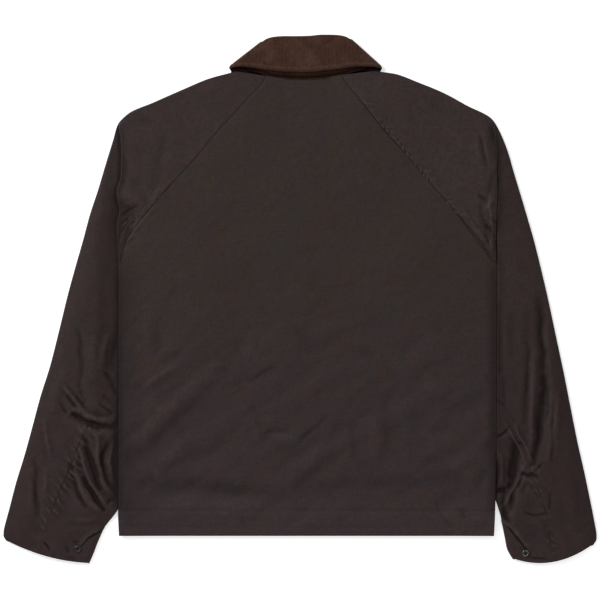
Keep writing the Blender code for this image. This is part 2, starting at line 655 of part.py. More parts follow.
def build_back(raglans, material):
    """The back panel from the hem to the neck seam."""
    rows = []
    for y in (*BACK_HEIGHTS, ARMHOLE - JOG):
        left = np.array([-side_edge("left", y), y])
        right = np.array([side_edge("right", y), y])
        rows.append(rolled_row(left, right))
    for index in range(RAGLAN_ROWS)[::-1]:
        left = np.array([raglans["left"]["seam_x"][index], raglans["left"]["seam_y"][index]])
        right = np.array([raglans["right"]["seam_x"][index], raglans["right"]["seam_y"][index]])
        up_the_yoke = (left[1] - ARMHOLE) / (NECK_BACK - ARMHOLE)
        bow = BACK_NECK_BOW * ramp(up_the_yoke, NECK_CURVE_RAMP)
        rows.append(back_row(left + (SEAM, 0), right - (SEAM, 0), bow))
    points, normals, width = gather(rows)
    ids = np.arange(len(points)).reshape(-1, width)
    add_object("back", *wall(points, normals, strip_quads(ids), WALL, False), material)


FRONT_OUTER_COLUMNS = 5
FRONT_RAMP = (-12.0, -24.0, -36.0, -48.0, -60.0)
FRONT_INNER_COLUMNS = 4
FRONT_CENTRE_COLUMNS = (48.0, 36.0, 24.0, -OVERLAP)
GUIDE_LOW = 60.0  # below this height the guide columns run straight down
GUIDE_MARGIN = 4.0
FRONT_LEVEL = 4.0  # the rows are level this far past the overlap


def overlap_height(x, y):
    """How far the right front rises to lie on the left one."""
    rise = OVERLAP_TOP_RISE + (OVERLAP_RISE - OVERLAP_TOP_RISE) * ramp(-y, OVERLAP_TOP_RAMP)
    return rise * ramp(-x, OVERLAP_RAMP)


def front_lower_row(side, y, height):
    """A front's row below the armhole: the rolled side edge, then in to past the centre."""
    sign = -1 if side == "left" else 1
    heights, reach = inner_line(side)
    edge = float(side_edge(side, y))
    start = edge - SIDE_REACH
    guide = float(np.interp(max(y, GUIDE_LOW), heights, reach))
    step = np.array(FRONT_RAMP) + min(guide, edge - GUIDE_MARGIN)
    low_z = float(height(sign * start, y))
    radius = (float(top_height(sign * start, y)) - low_z) / 2
    bend = half_turn(
        np.array([sign * start, y]), np.array([sign, 0.0]), SIDE_REACH, low_z + radius, radius,
        -SIDE_TURN,
    )
    outer = np.linspace(start, step[0], FRONT_OUTER_COLUMNS)[:-1]
    across = np.linspace(step[-1], FRONT_CENTRE_COLUMNS[0], FRONT_INNER_COLUMNS)[1:-1]
    xs = sign * np.concatenate([outer, step, across, FRONT_CENTRE_COLUMNS])
    return join([bend, level(np.column_stack([xs, np.full(len(xs), float(y))]), height, False)])


def front_upper_row(edge, sign, share_up, count, height):
    """A front's row above the armhole, from the raglan seam to past the centre."""
    centre = np.array([-sign * OVERLAP, ARMHOLE + (NECK_FRONT - ARMHOLE) * share_up])
    reach = abs(edge[0]) + OVERLAP
    near = (abs(edge[0]) - np.array(FRONT_CENTRE_COLUMNS)) / reach
    share = np.concatenate([np.linspace(0, near[0], count - len(near) + 1)[:-1], near])
    plan = sagged(edge, centre, share)
    flat = 2 * OVERLAP + FRONT_LEVEL
    tilt = np.clip(((1 - share) * reach - flat) / (reach - flat), 0, 1)
    plan[:, 1] = centre[1] + (edge[1] - centre[1]) * tilt
    plan[:, 1] -= FRONT_NECK_BOW * share_up**3 * 4 * share * (1 - share)
    return level(plan, height, False)


def build_front(side, raglan, material):
    """A front panel: from the side edge or the raglan seam to past the centre front."""
    sign = -1 if side == "left" else 1

    def height(x, y):
        base = front_height(x, y)
        return base if side == "left" else base + overlap_height(x, y)

    rows = [front_lower_row(side, y, height) for y in (*FRONT_HEIGHTS, ARMHOLE - JOG)]
    inner_width = len(FRONT_RAMP) + FRONT_INNER_COLUMNS - 2 + len(FRONT_CENTRE_COLUMNS)
    upper_rows = []
    for index in range(RAGLAN_ROWS - 1)[::-1]:
        edge = np.array([raglan["front_x"][index] - sign * 2 * SEAM, raglan["front_y"][index]])
        share_up = (edge[1] - ARMHOLE) / (raglan["front_y"][0] - ARMHOLE)
        upper_rows.append(front_upper_row(edge, sign, share_up, inner_width, height))
    points, normals, lower_width = gather(rows)
    upper_points, upper_normals, _ = gather(upper_rows)
    ids = np.arange(len(points)).reshape(-1, lower_width)
    upper_ids = ids.size + np.arange(len(upper_points)).reshape(-1, inner_width)
    above = np.concatenate([ids[-1:, -inner_width:], upper_ids])
    quads = np.concatenate([strip_quads(ids), strip_quads(above)])
    points = np.concatenate([points, upper_points])
    normals = np.concatenate([normals, upper_normals])
    add_object(f"front_{side}", *wall(points, normals, quads, WALL, side == "left"), material)


COLLAR_STATIONS = 49
LEAF_COLUMNS = 4
ROLL_ANGLES = np.radians([50, 15, -15, -50])
STAND_COLUMNS = 3
SIDEWAYS = np.array([0.65, 0.76])  # the way the collar faces where it turns at the shoulder


def collar_section(row, sign):
    """The collar's face at one station: over the leaf, round the roll and down the stand."""
    turn = math.radians(row["turn"])
    normal = np.array([*(SIDEWAYS * (sign, 1) * math.sin(turn)), math.cos(turn)])
    edge = np.array([row["edge_x"], row["edge_y"]])
    roll = np.array([row["roll_x"], row["roll_y"]])
    neck = np.array([row["neck_x"], row["neck_y"]])
    leaf = LEAF_REACH + (LEAF_REACH - COLLAR_AXIS) * math.cos(turn)
    stand = STAND_REACH - COLLAR_TILT * math.cos(turn)
    share = np.linspace(0, 1, LEAF_COLUMNS)
    rise = row["rise"] * np.sin(math.pi * (1 + share) / 2)
    axis = np.full(LEAF_COLUMNS, COLLAR_AXIS)
    leaf_points = np.column_stack([sagged(edge, roll, share), axis])
    leaf_points = leaf_points + normal * (leaf + rise)[:, None]
    toward = np.array([*((roll - edge) / np.linalg.norm(roll - edge)), 0.0])
    angles = ROLL_ANGLES[:, None]
    radial = toward * np.cos(angles) + normal * np.sin(angles)
    centre = np.array([*roll, COLLAR_AXIS]) + normal * (leaf + stand) / 2
    roll_points = centre + radial * (leaf - stand) / 2
    length = np.linalg.norm(neck - roll)
    cut, gap = LEAF_UNDERTURN / length, SEAM / length
    share = np.concatenate([[0.0, cut - gap], np.linspace(cut + gap, 1, STAND_COLUMNS)])
    plan = sagged(roll, neck, share)
    stand_points = np.column_stack([plan, np.full(len(plan), COLLAR_AXIS)]) + normal * stand
    return join([
        (leaf_points, np.tile(normal, (LEAF_COLUMNS, 1))),
        (roll_points, radial),
        (stand_points, np.tile(-normal, (len(plan), 1))),
    ])


def build_collar(material):
    """The leaf with its roll, and the stand under it."""
    stations = finer(COLLAR, COLLAR_COLUMNS, COLLAR_STATIONS)
    points, normals, width = gather([
        collar_section(row_at(stations, index), -1 if index < COLLAR_STATIONS // 2 else 1)
        for index in range(COLLAR_STATIONS)
    ])
    ids = np.arange(len(points)).reshape(COLLAR_STATIONS, width)
    leaf_width = width - STAND_COLUMNS
    for name, part in (("leaf", ids[:, :leaf_width]), ("stand", ids[:, leaf_width:])):
        body = wall(points, normals, strip_quads(part), CORD_WALL, True)
        add_object(f"collar_{name}", *body, material)


def turned(name, centre, profile, material):
    """A closed round body from rows of (radius, height), bottom centre to top centre."""
    angles = np.arange(STUD_SIDES) * 2 * math.pi / STUD_SIDES
    circle = np.column_stack([np.cos(angles), np.sin(angles)])
    rings = [
        np.column_stack([circle * radius, np.full(STUD_SIDES, height)])
        for radius, height in profile[1:-1]
    ]
    ends = [(0.0, 0.0, profile[0][1]), (0.0, 0.0, profile[-1][1])]
    points = np.concatenate([*rings, ends]) + centre
    here = np.arange(STUD_SIDES)
    after = np.roll(here, -1)
    bottom, top = np.full(STUD_SIDES, len(points) - 2), np.full(STUD_SIDES, len(points) - 1)
    faces = [np.stack([bottom, after, here], axis=1)]
    for ring in range(len(rings) - 1):
        low, high = ring * STUD_SIDES, (ring + 1) * STUD_SIDES
        faces.append(np.stack([low + here, low + after, high + after], axis=1))
        faces.append(np.stack([low + here, high + after, high + here], axis=1))
    last = (len(rings) - 1) * STUD_SIDES
    faces.append(np.stack([top, last + here, last + after], axis=1))
    add_object(name, points, np.concatenate(faces), material)


def build_studs(material):
    """A ring-topped stud on each cuff, and flat studs between the fronts."""
    r, h = CUFF_STUD_RADIUS, CUFF_STUD_HEIGHT
    low = h - CUFF_STUD_DISH
    profile = (
        (0, 0), (r - 0.6, 0), (r, 0.6), (r, h - 0.8), (r - 0.8, h), (r - 2.0, h),
        (r - 2.8, low), (0, low),
    )
    for side, (x, y) in CUFF_STUDS.items():
        turned(f"cuff_stud_{side}", (x, y, CUFF_PAD_HEIGHT + STUD_GAP), profile, material)
    r, h = FRONT_STUD_RADIUS, FRONT_STUD_HEIGHT
    profile = ((0, 0), (r, 0), (r, h), (0, h))
    for number in range(FRONT_STUD_COUNT):
        y = FRONT_STUD_LOW + number * FRONT_STUD_PITCH
        turned(f"front_stud_{number + 1}", (0.0, y, WALL + 2 * SEAM), profile, material)


def main():
    """Build every piece."""
    for obj in list(bpy.data.objects):
        bpy.data.objects.remove(obj)
    wax = make_material("waxed_cotton", WAX_COLOUR, 0.5)
    cord = make_material("corduroy", CORD_COLOUR, 0.9)
    metal = make_material("stud_metal", STUD_COLOUR, 0.4, 0.8)
    raglans = {side: build_sleeve(side, wax) for side in RAGLAN}
    build_back(raglans, wax)
    for side, raglan in raglans.items():
        build_front(side, raglan, wax)
    build_collar(cord)
    build_studs(metal)


main()
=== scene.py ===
"""A waxed cotton jacket with raglan sleeves and a corduroy collar, laid on its front.

Lengths are in millimetres in the garment's own frame until a mesh is made: x runs to the wearer's
right from the centre back, y runs up from the hem and z up from the floor. Each piece of cloth is
a closed wall on a surface worked out from named sections, with its folds, puckers and seams.
"""

import logging
import math
from dataclasses import dataclass, field
from enum import Enum
from functools import cache
from typing import Callable

import bpy
import numpy as np
from numpy.typing import NDArray
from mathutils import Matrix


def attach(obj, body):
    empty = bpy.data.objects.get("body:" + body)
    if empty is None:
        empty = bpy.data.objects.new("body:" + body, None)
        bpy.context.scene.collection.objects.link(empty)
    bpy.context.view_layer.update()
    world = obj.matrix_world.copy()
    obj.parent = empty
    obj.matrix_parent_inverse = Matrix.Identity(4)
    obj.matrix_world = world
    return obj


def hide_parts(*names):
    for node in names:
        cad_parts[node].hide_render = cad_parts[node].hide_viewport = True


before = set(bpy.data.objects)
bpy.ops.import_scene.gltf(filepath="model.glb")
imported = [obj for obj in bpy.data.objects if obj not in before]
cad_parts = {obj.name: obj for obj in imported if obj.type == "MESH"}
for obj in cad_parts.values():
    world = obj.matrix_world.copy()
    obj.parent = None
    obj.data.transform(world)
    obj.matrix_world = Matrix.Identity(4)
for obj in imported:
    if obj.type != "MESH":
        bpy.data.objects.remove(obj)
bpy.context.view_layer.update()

Array = NDArray[np.float64]
Table = NDArray[np.int64]
Height = Callable[[Array, Array], Array]
Colour = tuple[float, float, float, float]
LOG = logging.getLogger("jacket")
MM = 0.001
SHIFT = np.array([9.25, -342.8, 0.0])


class Side(Enum):
    """The wearer's side that a piece is on."""

    LEFT = "left"
    RIGHT = "right"

    @property
    def sign(self) -> float:
        """The way this side lies along x."""
        return -1.0 if self is Side.LEFT else 1.0


class Slot(Enum):
    """The record's material slots."""

    WAX = "waxed_cotton"
    CORD = "corduroy"
    METAL = "stud_metal"


# Sections of the raglan part from neck to armhole. inset: how far the cap's folded edge lies inside
# the sleeve's outer edge. tuck: how far the cloth runs back under the cap.
RAGLAN_COLUMNS = ("seam_x", "seam_y", "outer_x", "outer_y", "inset", "tuck", "front_x", "front_y")
RAGLAN = {
    Side.LEFT: (
        (-59, 667, -103, 673.4, 0, 16, -80, 636),
        (-65, 656, -140, 663.8, 0, 16, -84, 620),
        (-79.5, 641, -182, 646.6, 0, 16, -88, 600),
        (-96.5, 622, -222.5, 628.8, 0, 15, -92, 580),
        (-114, 603, -256.5, 614.2, 0, 14, -96, 560),
        (-130, 586, -274.3, 597, 2.5, 12, -100, 540),
        (-140, 573.5, -281.3, 574, 11.8, 16, -103, 520),
        (-170, 538, -292.3, 538, 21.8, 41.5, -108, 495),
        (-204, 501.5, -303.2, 501.5, 28.2, 71.5, -113, 470),
        (-235, 465.5, -315, 465.5, 41, 96, -118, 445),
        (-261, 429, -324.8, 429, 51.3, 121, -124, 420),
        (-269.5, 397.5, -333.8, 397.5, 60.3, 142.2, -131.3, 397.5),
    ),
    Side.RIGHT: (
        (50.5, 668.5, 99, 674, 0, 16, 80, 636),
        (60.5, 652.5, 126.5, 670.5, 0, 16, 84, 620),
        (74.5, 636.5, 161.5, 658, 0, 16, 88, 600),
        (90.5, 616, 199, 642.5, 0, 15, 92, 580),
        (107.5, 594.5, 234, 623.5, 0, 14, 96, 560),
        (122, 578, 268, 606, 1.5, 12, 100, 540),
        (139, 559.5, 291.5, 559.5, 14.5, 28, 103, 520),
        (163.5, 530.5, 300, 530.5, 23, 47, 108, 495),
        (191, 499, 309.5, 499, 32, 72, 113, 470),
        (220, 465.5, 319.5, 465.5, 43.5, 94, 118, 445),
        (246.5, 429, 330, 429, 55, 118, 124, 420),
        (270.5, 397.5, 338, 397.5, 62.5, 140.2, 135.3, 397.5),
    ),
}
# Sections of the sleeve from armhole to cuff. bow: how far the middle sags toward the cuff. seam: the
# back-arm seam's share of the way from the inner to the outer edge.
TUBE_COLUMNS = ("outer_x", "outer_y", "inner_x", "inner_y", "bow", "seam")
TUBE = {
    Side.LEFT: (
        (-333.8, 397.5, -128.7, 397.5, 0, 0.30),
        (-347, 349.5, -149, 345, 0, 0.34),
        (-360, 296, -175, 281.5, 0, 0.38),
        (-372.6, 246.5, -199.5, 220.5, 0, 0.45),
        (-387.2, 200, -223.5, 161, 1, 0.50),
        (-398.8, 156.5, -244.5, 109, 1.5, 0.55),
        (-410, 116, -262, 66.5, 2, 0.565),
        (-422, 77, -274.5, 37, 3, 0.585),
        (-431.5, 40.5, -294, 11.5, 4, 0.58),
        (-440, 7.5, -303.5, -9, 5.5, 0.58),
        (-440.4, 0, -310, -26, 6, 0.58),
        (-436, -7.6, -316, -40, 6, 0.58),
    ),
    Side.RIGHT: (
        (338, 397.5, 132.7, 397.5, 0, 0.30),
        (350, 346.5, 151, 348, 0, 0.34),
        (362, 290, 176, 290, 0, 0.38),
        (374, 233.5, 200, 232, 0, 0.42),
        (384, 182.5, 220, 180, 1, 0.45),
        (393.5, 135, 239.5, 132, 2, 0.47),
        (403, 93, 257, 88.5, 4, 0.48),
        (411, 55, 275.5, 49.5, 6, 0.505),
        (416.5, 27.5, 282.6, 24.5, 9, 0.51),
        (421, 1.5, 288, -3, 11.5, 0.495),
        (421, -5, 291, -18.5, 12.6, 0.505),
        (415.8, -13.9, 300, -34.2, 13.6, 0.52),
    ),
}
# The body's side edges
SIDE_COLUMNS = ("height", "left", "right")
SIDES = (
    (0, -272.5, 272), (26, -273.6, 273), (80, -273.6, 274.5), (170, -273.6, 274.8), (290, -273.4, 275),
    (397.5, -273.5, 275.5),
)
# How far the left cap's folded edge strays outwards, at rising heights
EDGE_WAVE_COLUMNS = ("height", "out")
EDGE_WAVES = (
    (397.5, 0), (420, 1), (436, 2.2), (448, 1.8), (457, 1.4), (465, -1.2), (474, -3),
    (483, -1.8), (490, 0.3), (503, 1), (511, -1.6), (520, -2.8), (534, -1.4), (550, -0.6),
    (574, 0.4), (597, 0),
)
# Stations round the collar from one front end to the other: the leaf's edge, its roll and the neck
# seam. turn: 0 where the leaf faces up, 180 in front. rise: how far it lifts.
COLLAR_COLUMNS = ("edge_x", "edge_y", "roll_x", "roll_y", "neck_x", "neck_y", "turn", "rise")
COLLAR = (
    (-58, 560, -5, 628, -3, 592.5, 180, 0),
    (-80, 585, -22, 634, -31, 600, 180, 0),
    (-97, 610, -37, 650, -58, 618, 180, 0),
    (-108, 642, -50, 678, -73, 641, 180, 0),
    (-109.8, 674.5, -66.3, 715, -85, 675, 180, 0),
    (-110, 675.5, -66.3, 715, -86, 677, 120, 0),
    (-109.2, 677.2, -66.3, 715, -86, 677, 60, 0),
    (-107.2, 679.2, -66.3, 715, -85, 675, 0, 0.8),
    (-97, 680.4, -59.5, 719.2, -78, 673, 0, 1.3),
    (-79, 679, -48, 721.8, -68, 671.2, 0, 1),
    (-55, 675.3, -34, 722.4, -47, 666.8, 0, 0.3),
    (-27, 673, -15, 722.2, -22, 664.6, 0, 0),
    (0, 672.5, 4, 722.6, 1, 664, 0, 0),
    (25, 674.5, 22, 724.2, 22, 665.2, 0, 0.1),
    (50, 677.5, 38, 724.2, 43, 668.8, 0, 0.3),
    (74, 680.5, 51, 723.4, 62, 672, 0, 0.9),
    (95.5, 680.5, 58.5, 722, 78, 675, 0, 1.3),
    (102.8, 679, 65, 718.6, 84.5, 677, 0, 0.8),
    (105.4, 677, 65, 718.6, 85.5, 679, 60, 0),
    (107, 675, 65, 718.6, 85.5, 679, 120, 0),
    (107, 674, 65, 718.6, 84.5, 676, 180, 0),
    (106, 642, 50, 678, 73, 641, 180, 0),
    (97, 610, 37, 650, 58, 618, 180, 0),
    (80, 585, 22, 634, 31, 600, 180, 0),
    (58, 560, 5, 628, 3, 592.5, 180, 0),
)

# Folds: the start, middle and end of a bent line, x before y, its half width to the right of that
# way, the share of that to its left, where it is steeper, and its height.
SLEEVE_FOLDS = {
    Side.LEFT: (
        (-342, 178, -304, 152, -272, 164, 6.6, 0.5, -7.6),
        (-341, 180, -332, 175, -322, 170, 3.2, 0.9, -1.6), (-338, 176, -306, 157, -272, 160, 4.5, 1, -2.2),
        (-341, 178, -306, 154, -272, 163, 2.4, 1, -2.4), (-338, 188, -306, 160, -272, 174, 5.5, 0.8, 2.4),
        (-351, 219, -343, 203, -321, 179, 2.6, 0.8, 2), (-347, 205, -341, 192, -331, 181, 2.4, 1, -1.3),
        (-336, 205, -330, 194, -320, 184, 3, 1, -1), (-333, 302, -322, 262, -330, 214, 4.5, 1, -1.6),
        (-331, 225, -330, 205, -320, 190, 4, 1, -1.2), (-312, 292, -309, 262, -313, 222, 8, 1, 1.2),
        (-288, 296, -295, 268, -297, 240, 6, 0.8, 1.2), (-275, 310, -280, 262, -291, 226, 7.5, 0.8, -2.8),
        (-292, 238, -284, 222, -274, 202, 4, 0.8, -1.8), (-302, 192, -292, 188, -280, 176, 2.2, 0.8, -1.1),
        (-296, 205, -290, 198, -281, 194, 3, 1, -0.6), (-318, 196, -300, 190, -288, 180, 7, 1, 1),
        (-366, 225, -368, 200, -362, 180, 9, 1, 1.2), (-352, 185, -346, 178, -341, 172, 3, 1, -0.8),
        (-356, 196, -352, 186, -350, 176, 3, 1, -0.8), (-323, 148, -309, 101, -297, 63, 5.5, 0.9, -4.8),
        (-303, 150, -304.5, 95, -284, 60, 3.2, 1, 2.8), (-286, 140, -309.5, 95, -277, 62, 4.5, 0.9, -3.4),
        (-276, 143, -294, 98.5, -276, 76, 2.6, 1, 2), (-274, 150, -279.5, 100, -273, 66, 3.5, 1, -4.2),
        (-326, 126, -320, 80, -294, 50, 2.8, 1, 2.6), (-331, 122, -347.5, 69, -298, 36, 5.5, 0.9, 2.4),
        (-324, 88, -314, 62, -292, 35, 4.2, 0.9, -4.2), (-341, 112, -340, 68, -319, 40, 4, 1, -2.2),
        (-273, 58, -282, 58, -291, 46, 2.6, 1, -1.8), (-347, 25, -322, 20, -300, 29, 3, 1, 0.6),
        (-340, 17, -318, 15, -302, 21, 3, 1, -0.5), (-388, 190, -393, 87, -387, 23, 15, 1, -1.2),
        (-383, 170, -378, 138, -371, 108, 3.4, 1, 1.5), (-394, 116, -393, 70, -389, 26, 4.2, 1, -1.6),
        (-381, 100, -380, 74, -376, 46, 3.4, 1, 1.4), (-394, 36, -391, 17, -388, -2, 10, 1, -1.2),
        (-394, 82, -393, 55, -391, 28, 4, 1, -0.9), (-377, 277, -379, 197, -395, 125, 14, 1, 0.9),
        (-311, 470, -303, 400, -314, 313, 16, 1, -0.8), (-292, 357, -295, 299, -282, 238, 10, 1, -0.6),
        (-297, 13, -312, 2, -333, -14, 8, 0.2, 1.6), (-297, 10, -312, -1, -331, -16, 1.5, 1, -1.5),
        (-350, -14, -346, -20, -345, -26, 3, 0.8, -0.9), (-348, -33, -342, -31, -334, -33, 3, 1, -0.7),
        (-341, -9, -336, -6, -331, -8, 2.5, 1, -0.7), (-381, -8, -377, -14, -371, -21, 2.5, 0.8, -1.1),
        (-402, -8, -396, -12, -388, -14, 6, 1, -0.5),
    ),
    Side.RIGHT: (
        (336, 350, 343, 268, 345, 188, 7.5, 0.9, -3.8), (346, 235, 342, 165, 328, 98, 8.5, 0.85, -5.6),
        (364, 215, 361, 150, 348, 104, 3.5, 1, 1.3), (329, 272, 328.5, 180, 323, 104, 4.5, 1, 2.1),
        (349, 215, 351, 190, 347, 166, 2.2, 1, -1.1), (354, 160, 353, 132, 346, 108, 4, 1, 1.1),
        (352, 330, 350, 290, 349, 245, 5, 1, 0.9), (311, 340, 312, 300, 309, 252, 7, 1, 0.8),
        (320, 285, 322, 262, 318, 205, 4, 1, -1.2), (281, 345, 276, 300, 281, 235, 7, 1, -1.4),
        (297, 330, 294, 290, 297, 240, 5, 1, -0.6), (319, 240, 317, 207, 314, 160, 5, 1, -1),
        (306, 215, 307, 190, 306, 160, 6, 1, 0.7), (287, 235, 284, 205, 289, 178, 4, 1, -0.9),
        (299, 164, 315, 134, 329, 106, 2, 1, 1.7), (286, 166, 305, 132, 322, 100, 1.8, 1, 1.5),
        (300, 145, 309, 95, 289, 22, 9, 0.7, -6), (306, 138, 309, 106, 297, 82, 9.5, 1, -3.6),
        (297, 78, 272, 43, 298, 19, 5, 0.8, -2.8), (318, 104, 306, 74, 285, 42, 3.4, 0.6, 3),
        (316, 94, 308.5, 86.5, 307, 69, 3, 1, -3.4), (308, 90, 320, 89, 337, 85, 3, 1, -3.2),
        (342, 110, 338, 95, 324, 89, 2.4, 1, -1.4), (325, 100, 332, 98, 340, 94, 3, 1, 1.2),
        (273, 110, 275, 90, 273, 68, 3, 1, -4.2), (270, 65, 281, 66, 291, 67, 4.4, 1, -4.4),
        (280, 122, 284, 96, 281, 70, 3.4, 1, 2.8), (275, 146, 286, 146, 293, 160, 2.6, 0.8, -2),
        (276, 200, 281, 192, 288, 190, 3, 1, -0.8), (284, 46, 276, 30, 292, 14, 4, 0.6, 1.4),
        (358, 200, 357, 150, 353, 106, 2.4, 1, -1), (365, 202, 365, 160, 359, 110, 3, 1, 1),
        (318, 80, 315, 72, 311, 60, 5, 1, -1.6), (314, 34, 331, 29, 353, 33, 2.4, 0.8, -1.1),
        (318, 22, 332, 24, 345, 13, 5, 1, 0.5), (320, 78, 328, 68, 336, 54, 2, 1, -0.5),
        (353, 66, 353, 52, 350, 34, 3, 1, -0.8), (318, 52, 327, 23, 335, -6, 8, 1, -0.6),
        (293, 487, 309, 415, 319, 342, 14, 1, -0.6), (324, -20, 310, 1, 290, 18, 8, 0.2, 1.6),
        (321, -22, 308, -1, 288, 15, 1.5, 1, -1.6), (310, -16, 315, -18, 320, -17, 2.6, 1, -0.9),
        (323, -30, 336, -32, 352, -33, 2.6, 0.8, -1.1), (388, 96, 395, 52, 401, 9, 9, 1, -1),
        (372, 230, 380, 180, 386, 130, 10, 1, -0.7), (345, 24, 352, 0, 362, -22, 9, 1, -1.6),
        (337, 356, 340, 328, 346, 292, 9, 1, -1.4),
    ),
}
CAP_FOLDS = {
    Side.LEFT: (
        (-211, 508, -217, 493, -224, 481, 4, 0.8, 1), (-224, 478, -245, 455, -265, 426, 3.5, 0.7, -0.4),
        (-219, 480, -239, 457, -259, 429, 3, 0.8, 0.9), (-242, 481, -255, 474, -271, 463, 2.8, 0.7, -0.9),
        (-268, 502, -253, 487, -236, 481, 7, 1, 1.1), (-239, 447, -248, 441, -258, 438, 3, 1, -0.8),
        (-245, 435, -253, 429, -262, 423, 3, 1, -0.8), (-262, 465, -265, 447, -268, 420, 4, 1, 1),
        (-265, 560, -261, 528, -268, 493, 6, 1, -0.6), (-227, 574, -239, 560, -256, 548, 14, 1, -0.6),
        (-250, 520, -245, 514, -238, 506, 5, 1, -0.5), (-242, 606, -232, 600, -222, 594, 6, 1, -0.6),
        (-272, 486, -262, 479, -252, 474, 3, 1, -0.4), (-258, 482, -262, 455, -268, 422, 10, 1, -2),
        (-243, 484, -250, 464, -262, 436, 7, 1, -1), (-205, 592, -214, 545, -222, 500, 9, 1, -1),
        (-256, 520, -251, 512, -246, 503, 6, 1, -0.5), (-258, 462, -263, 457, -269, 452, 2, 1, -0.7),
        (-252, 461, -257, 452, -262, 446, 2, 1, 0.6), (-261, 452, -265, 446, -270, 441, 2, 1, -0.7),
        (-257, 447, -261, 441, -266, 434, 2, 1, -0.7), (-263, 441, -266, 434, -270, 426, 2, 1, 0.6),
        (-246, 462, -251, 456, -257, 449, 2, 1, -0.7), (-270, 470, -267, 460, -271, 450, 2.2, 1, 0.5),
    ),
    Side.RIGHT: (
        (252, 584, 254, 562, 262, 530, 3.2, 0.8, -1.3), (270, 604, 268, 575, 272, 540, 7, 1, -1.4),
        (248, 498, 254, 490, 264, 484, 4, 1, -1.2), (243, 574, 247, 548, 256, 528, 8, 1, 0.8),
        (272, 534, 266, 510, 260, 487, 6, 1, -1.2), (269, 493, 264, 483, 261, 473, 4, 1, 1.2),
        (253, 494, 253, 466, 261, 434, 3.4, 0.8, -0.8), (258, 452, 264, 446, 272, 441, 2.2, 1, -0.7),
        (265, 429, 268, 424, 271, 420, 3, 1, 1), (259, 433, 263, 427, 268, 418, 2.2, 1, -0.8),
        (262, 466, 268, 461, 274, 452, 2.2, 1, -0.6), (264, 500, 266, 460, 271, 420, 2.8, 1, 1.3),
        (218, 471, 243, 438, 276, 397, 2.5, 0.6, -0.6), (224, 476, 248, 444, 274, 409, 3, 0.8, 0.9),
        (257, 455, 266, 444, 274, 432, 3.5, 0.8, -1), (264, 429, 269, 423, 273, 418, 4, 1, 1.3),
        (247, 463, 256, 459, 268, 461, 2.4, 0.8, -0.45), (256, 446, 263, 449, 271, 447, 2.4, 0.8, -0.45),
        (179, 632, 193, 618, 211, 603, 12, 1, -0.5),
    ),
}
BACK_FOLDS = (
    (-252, 130, -194, 199, -124, 249, 15, 0.8, 1.9), (-243, 108, -200.5, 172, -146, 203, 11, 0.9, -0.95),
    (-240, 214, -214, 235.5, -184, 251, 7, 1, 0.9), (-214, 252, -198, 264, -176, 268, 7, 1, -0.9),
    (-250, 72, -130, 76, -30, 60, 15, 1, -2.6), (-40, 66, 60, 84, 240, 74, 13, 1, -1.1),
    (-230, 44, -130, 46, -20, 44, 14, 1, 1), (34, 178, 12, 158, -22, 128, 5, 0.6, -0.75),
    (-68, 147, -48, 156, -22, 151, 5, 0.7, -0.8), (-52, 142, -30, 146, -6, 139, 7, 1, 1.1),
    (-214, 100, -198, 118, -178, 138, 13, 1, 1.4), (-224, 88, -216, 92, -205, 96, 8, 1, 0.7),
    (-32, 86, 0, 112, 38, 148, 11, 1, 1.1), (-20, 76, 24, 100, 56, 130, 10, 1, -0.9),
    (-118, 212, -75, 232, -38, 246, 9, 1, -0.8), (-92, 252, -50, 266, -14, 294, 24, 1, 1.3),
    (-130, 232, -110, 262, -94, 290, 12, 1, -0.8), (-82, 190, -70, 172, -66, 150, 5, 1, -0.5),
    (98, 178, 102, 140, 96, 102, 10, 1, 0.9), (118, 212, 112, 170, 118, 118, 8, 1, -0.8),
    (140, 200, 144, 160, 140, 110, 9, 1, 0.7), (70, 170, 64, 140, 70, 105, 8, 1, -0.7),
    (205, 100, 225, 116, 262, 122, 14, 1, 1.3), (172, 84, 200, 90, 228, 84, 10, 1, -1.1),
    (245, 60, 252, 85, 258, 100, 9, 1, -0.8), (168, 218, 185, 222, 202, 204, 11, 1, 0.7),
    (180, 150, 205, 158, 232, 150, 10, 1, -0.7), (188, 52, 192, 26, 215, 12, 3.5, 0.7, -0.5),
    (224, 40, 227, 33, 231, 27, 3, 1, -0.7), (-96, 38, -92, 22, -87, 8, 2.5, 0.7, -0.45),
    (107, 28, 109, 18, 113, 10, 2.5, 0.7, -0.4), (160, 28, 185, 18, 205, 24, 8, 1, -0.5),
    (-255, 250, -225, 300, -215, 380, 18, 1, 0.5), (-212, 258, -222, 290, -212, 325, 9, 1, -0.8),
    (-20, 262, 20, 285, 70, 292, 13, 1, -0.9), (0, 300, 50, 306, 90, 322, 12, 1, 0.7),
    (40, 262, 80, 272, 104, 262, 11, 1, -0.7), (120, 240, 160, 262, 190, 300, 14, 1, 0.7),
    (-60, 330, -20, 345, 10, 352, 18, 1, 0.8), (-230, 330, -180, 350, -130, 380, 16, 1, -0.5),
    (-85, 312, -65, 313, -42, 313, 2.2, 1, 0.45), (-237, 215, -220, 234, -186, 249, 2.6, 1, 0.6),
    (-142, 247, -130, 251, -108, 246, 2.6, 1, 0.6), (-133, 200, -108, 200, -87, 219, 2.6, 0.8, -0.4),
    (-87, 219, -70, 236, -46, 246, 2.6, 0.8, -0.4),
)

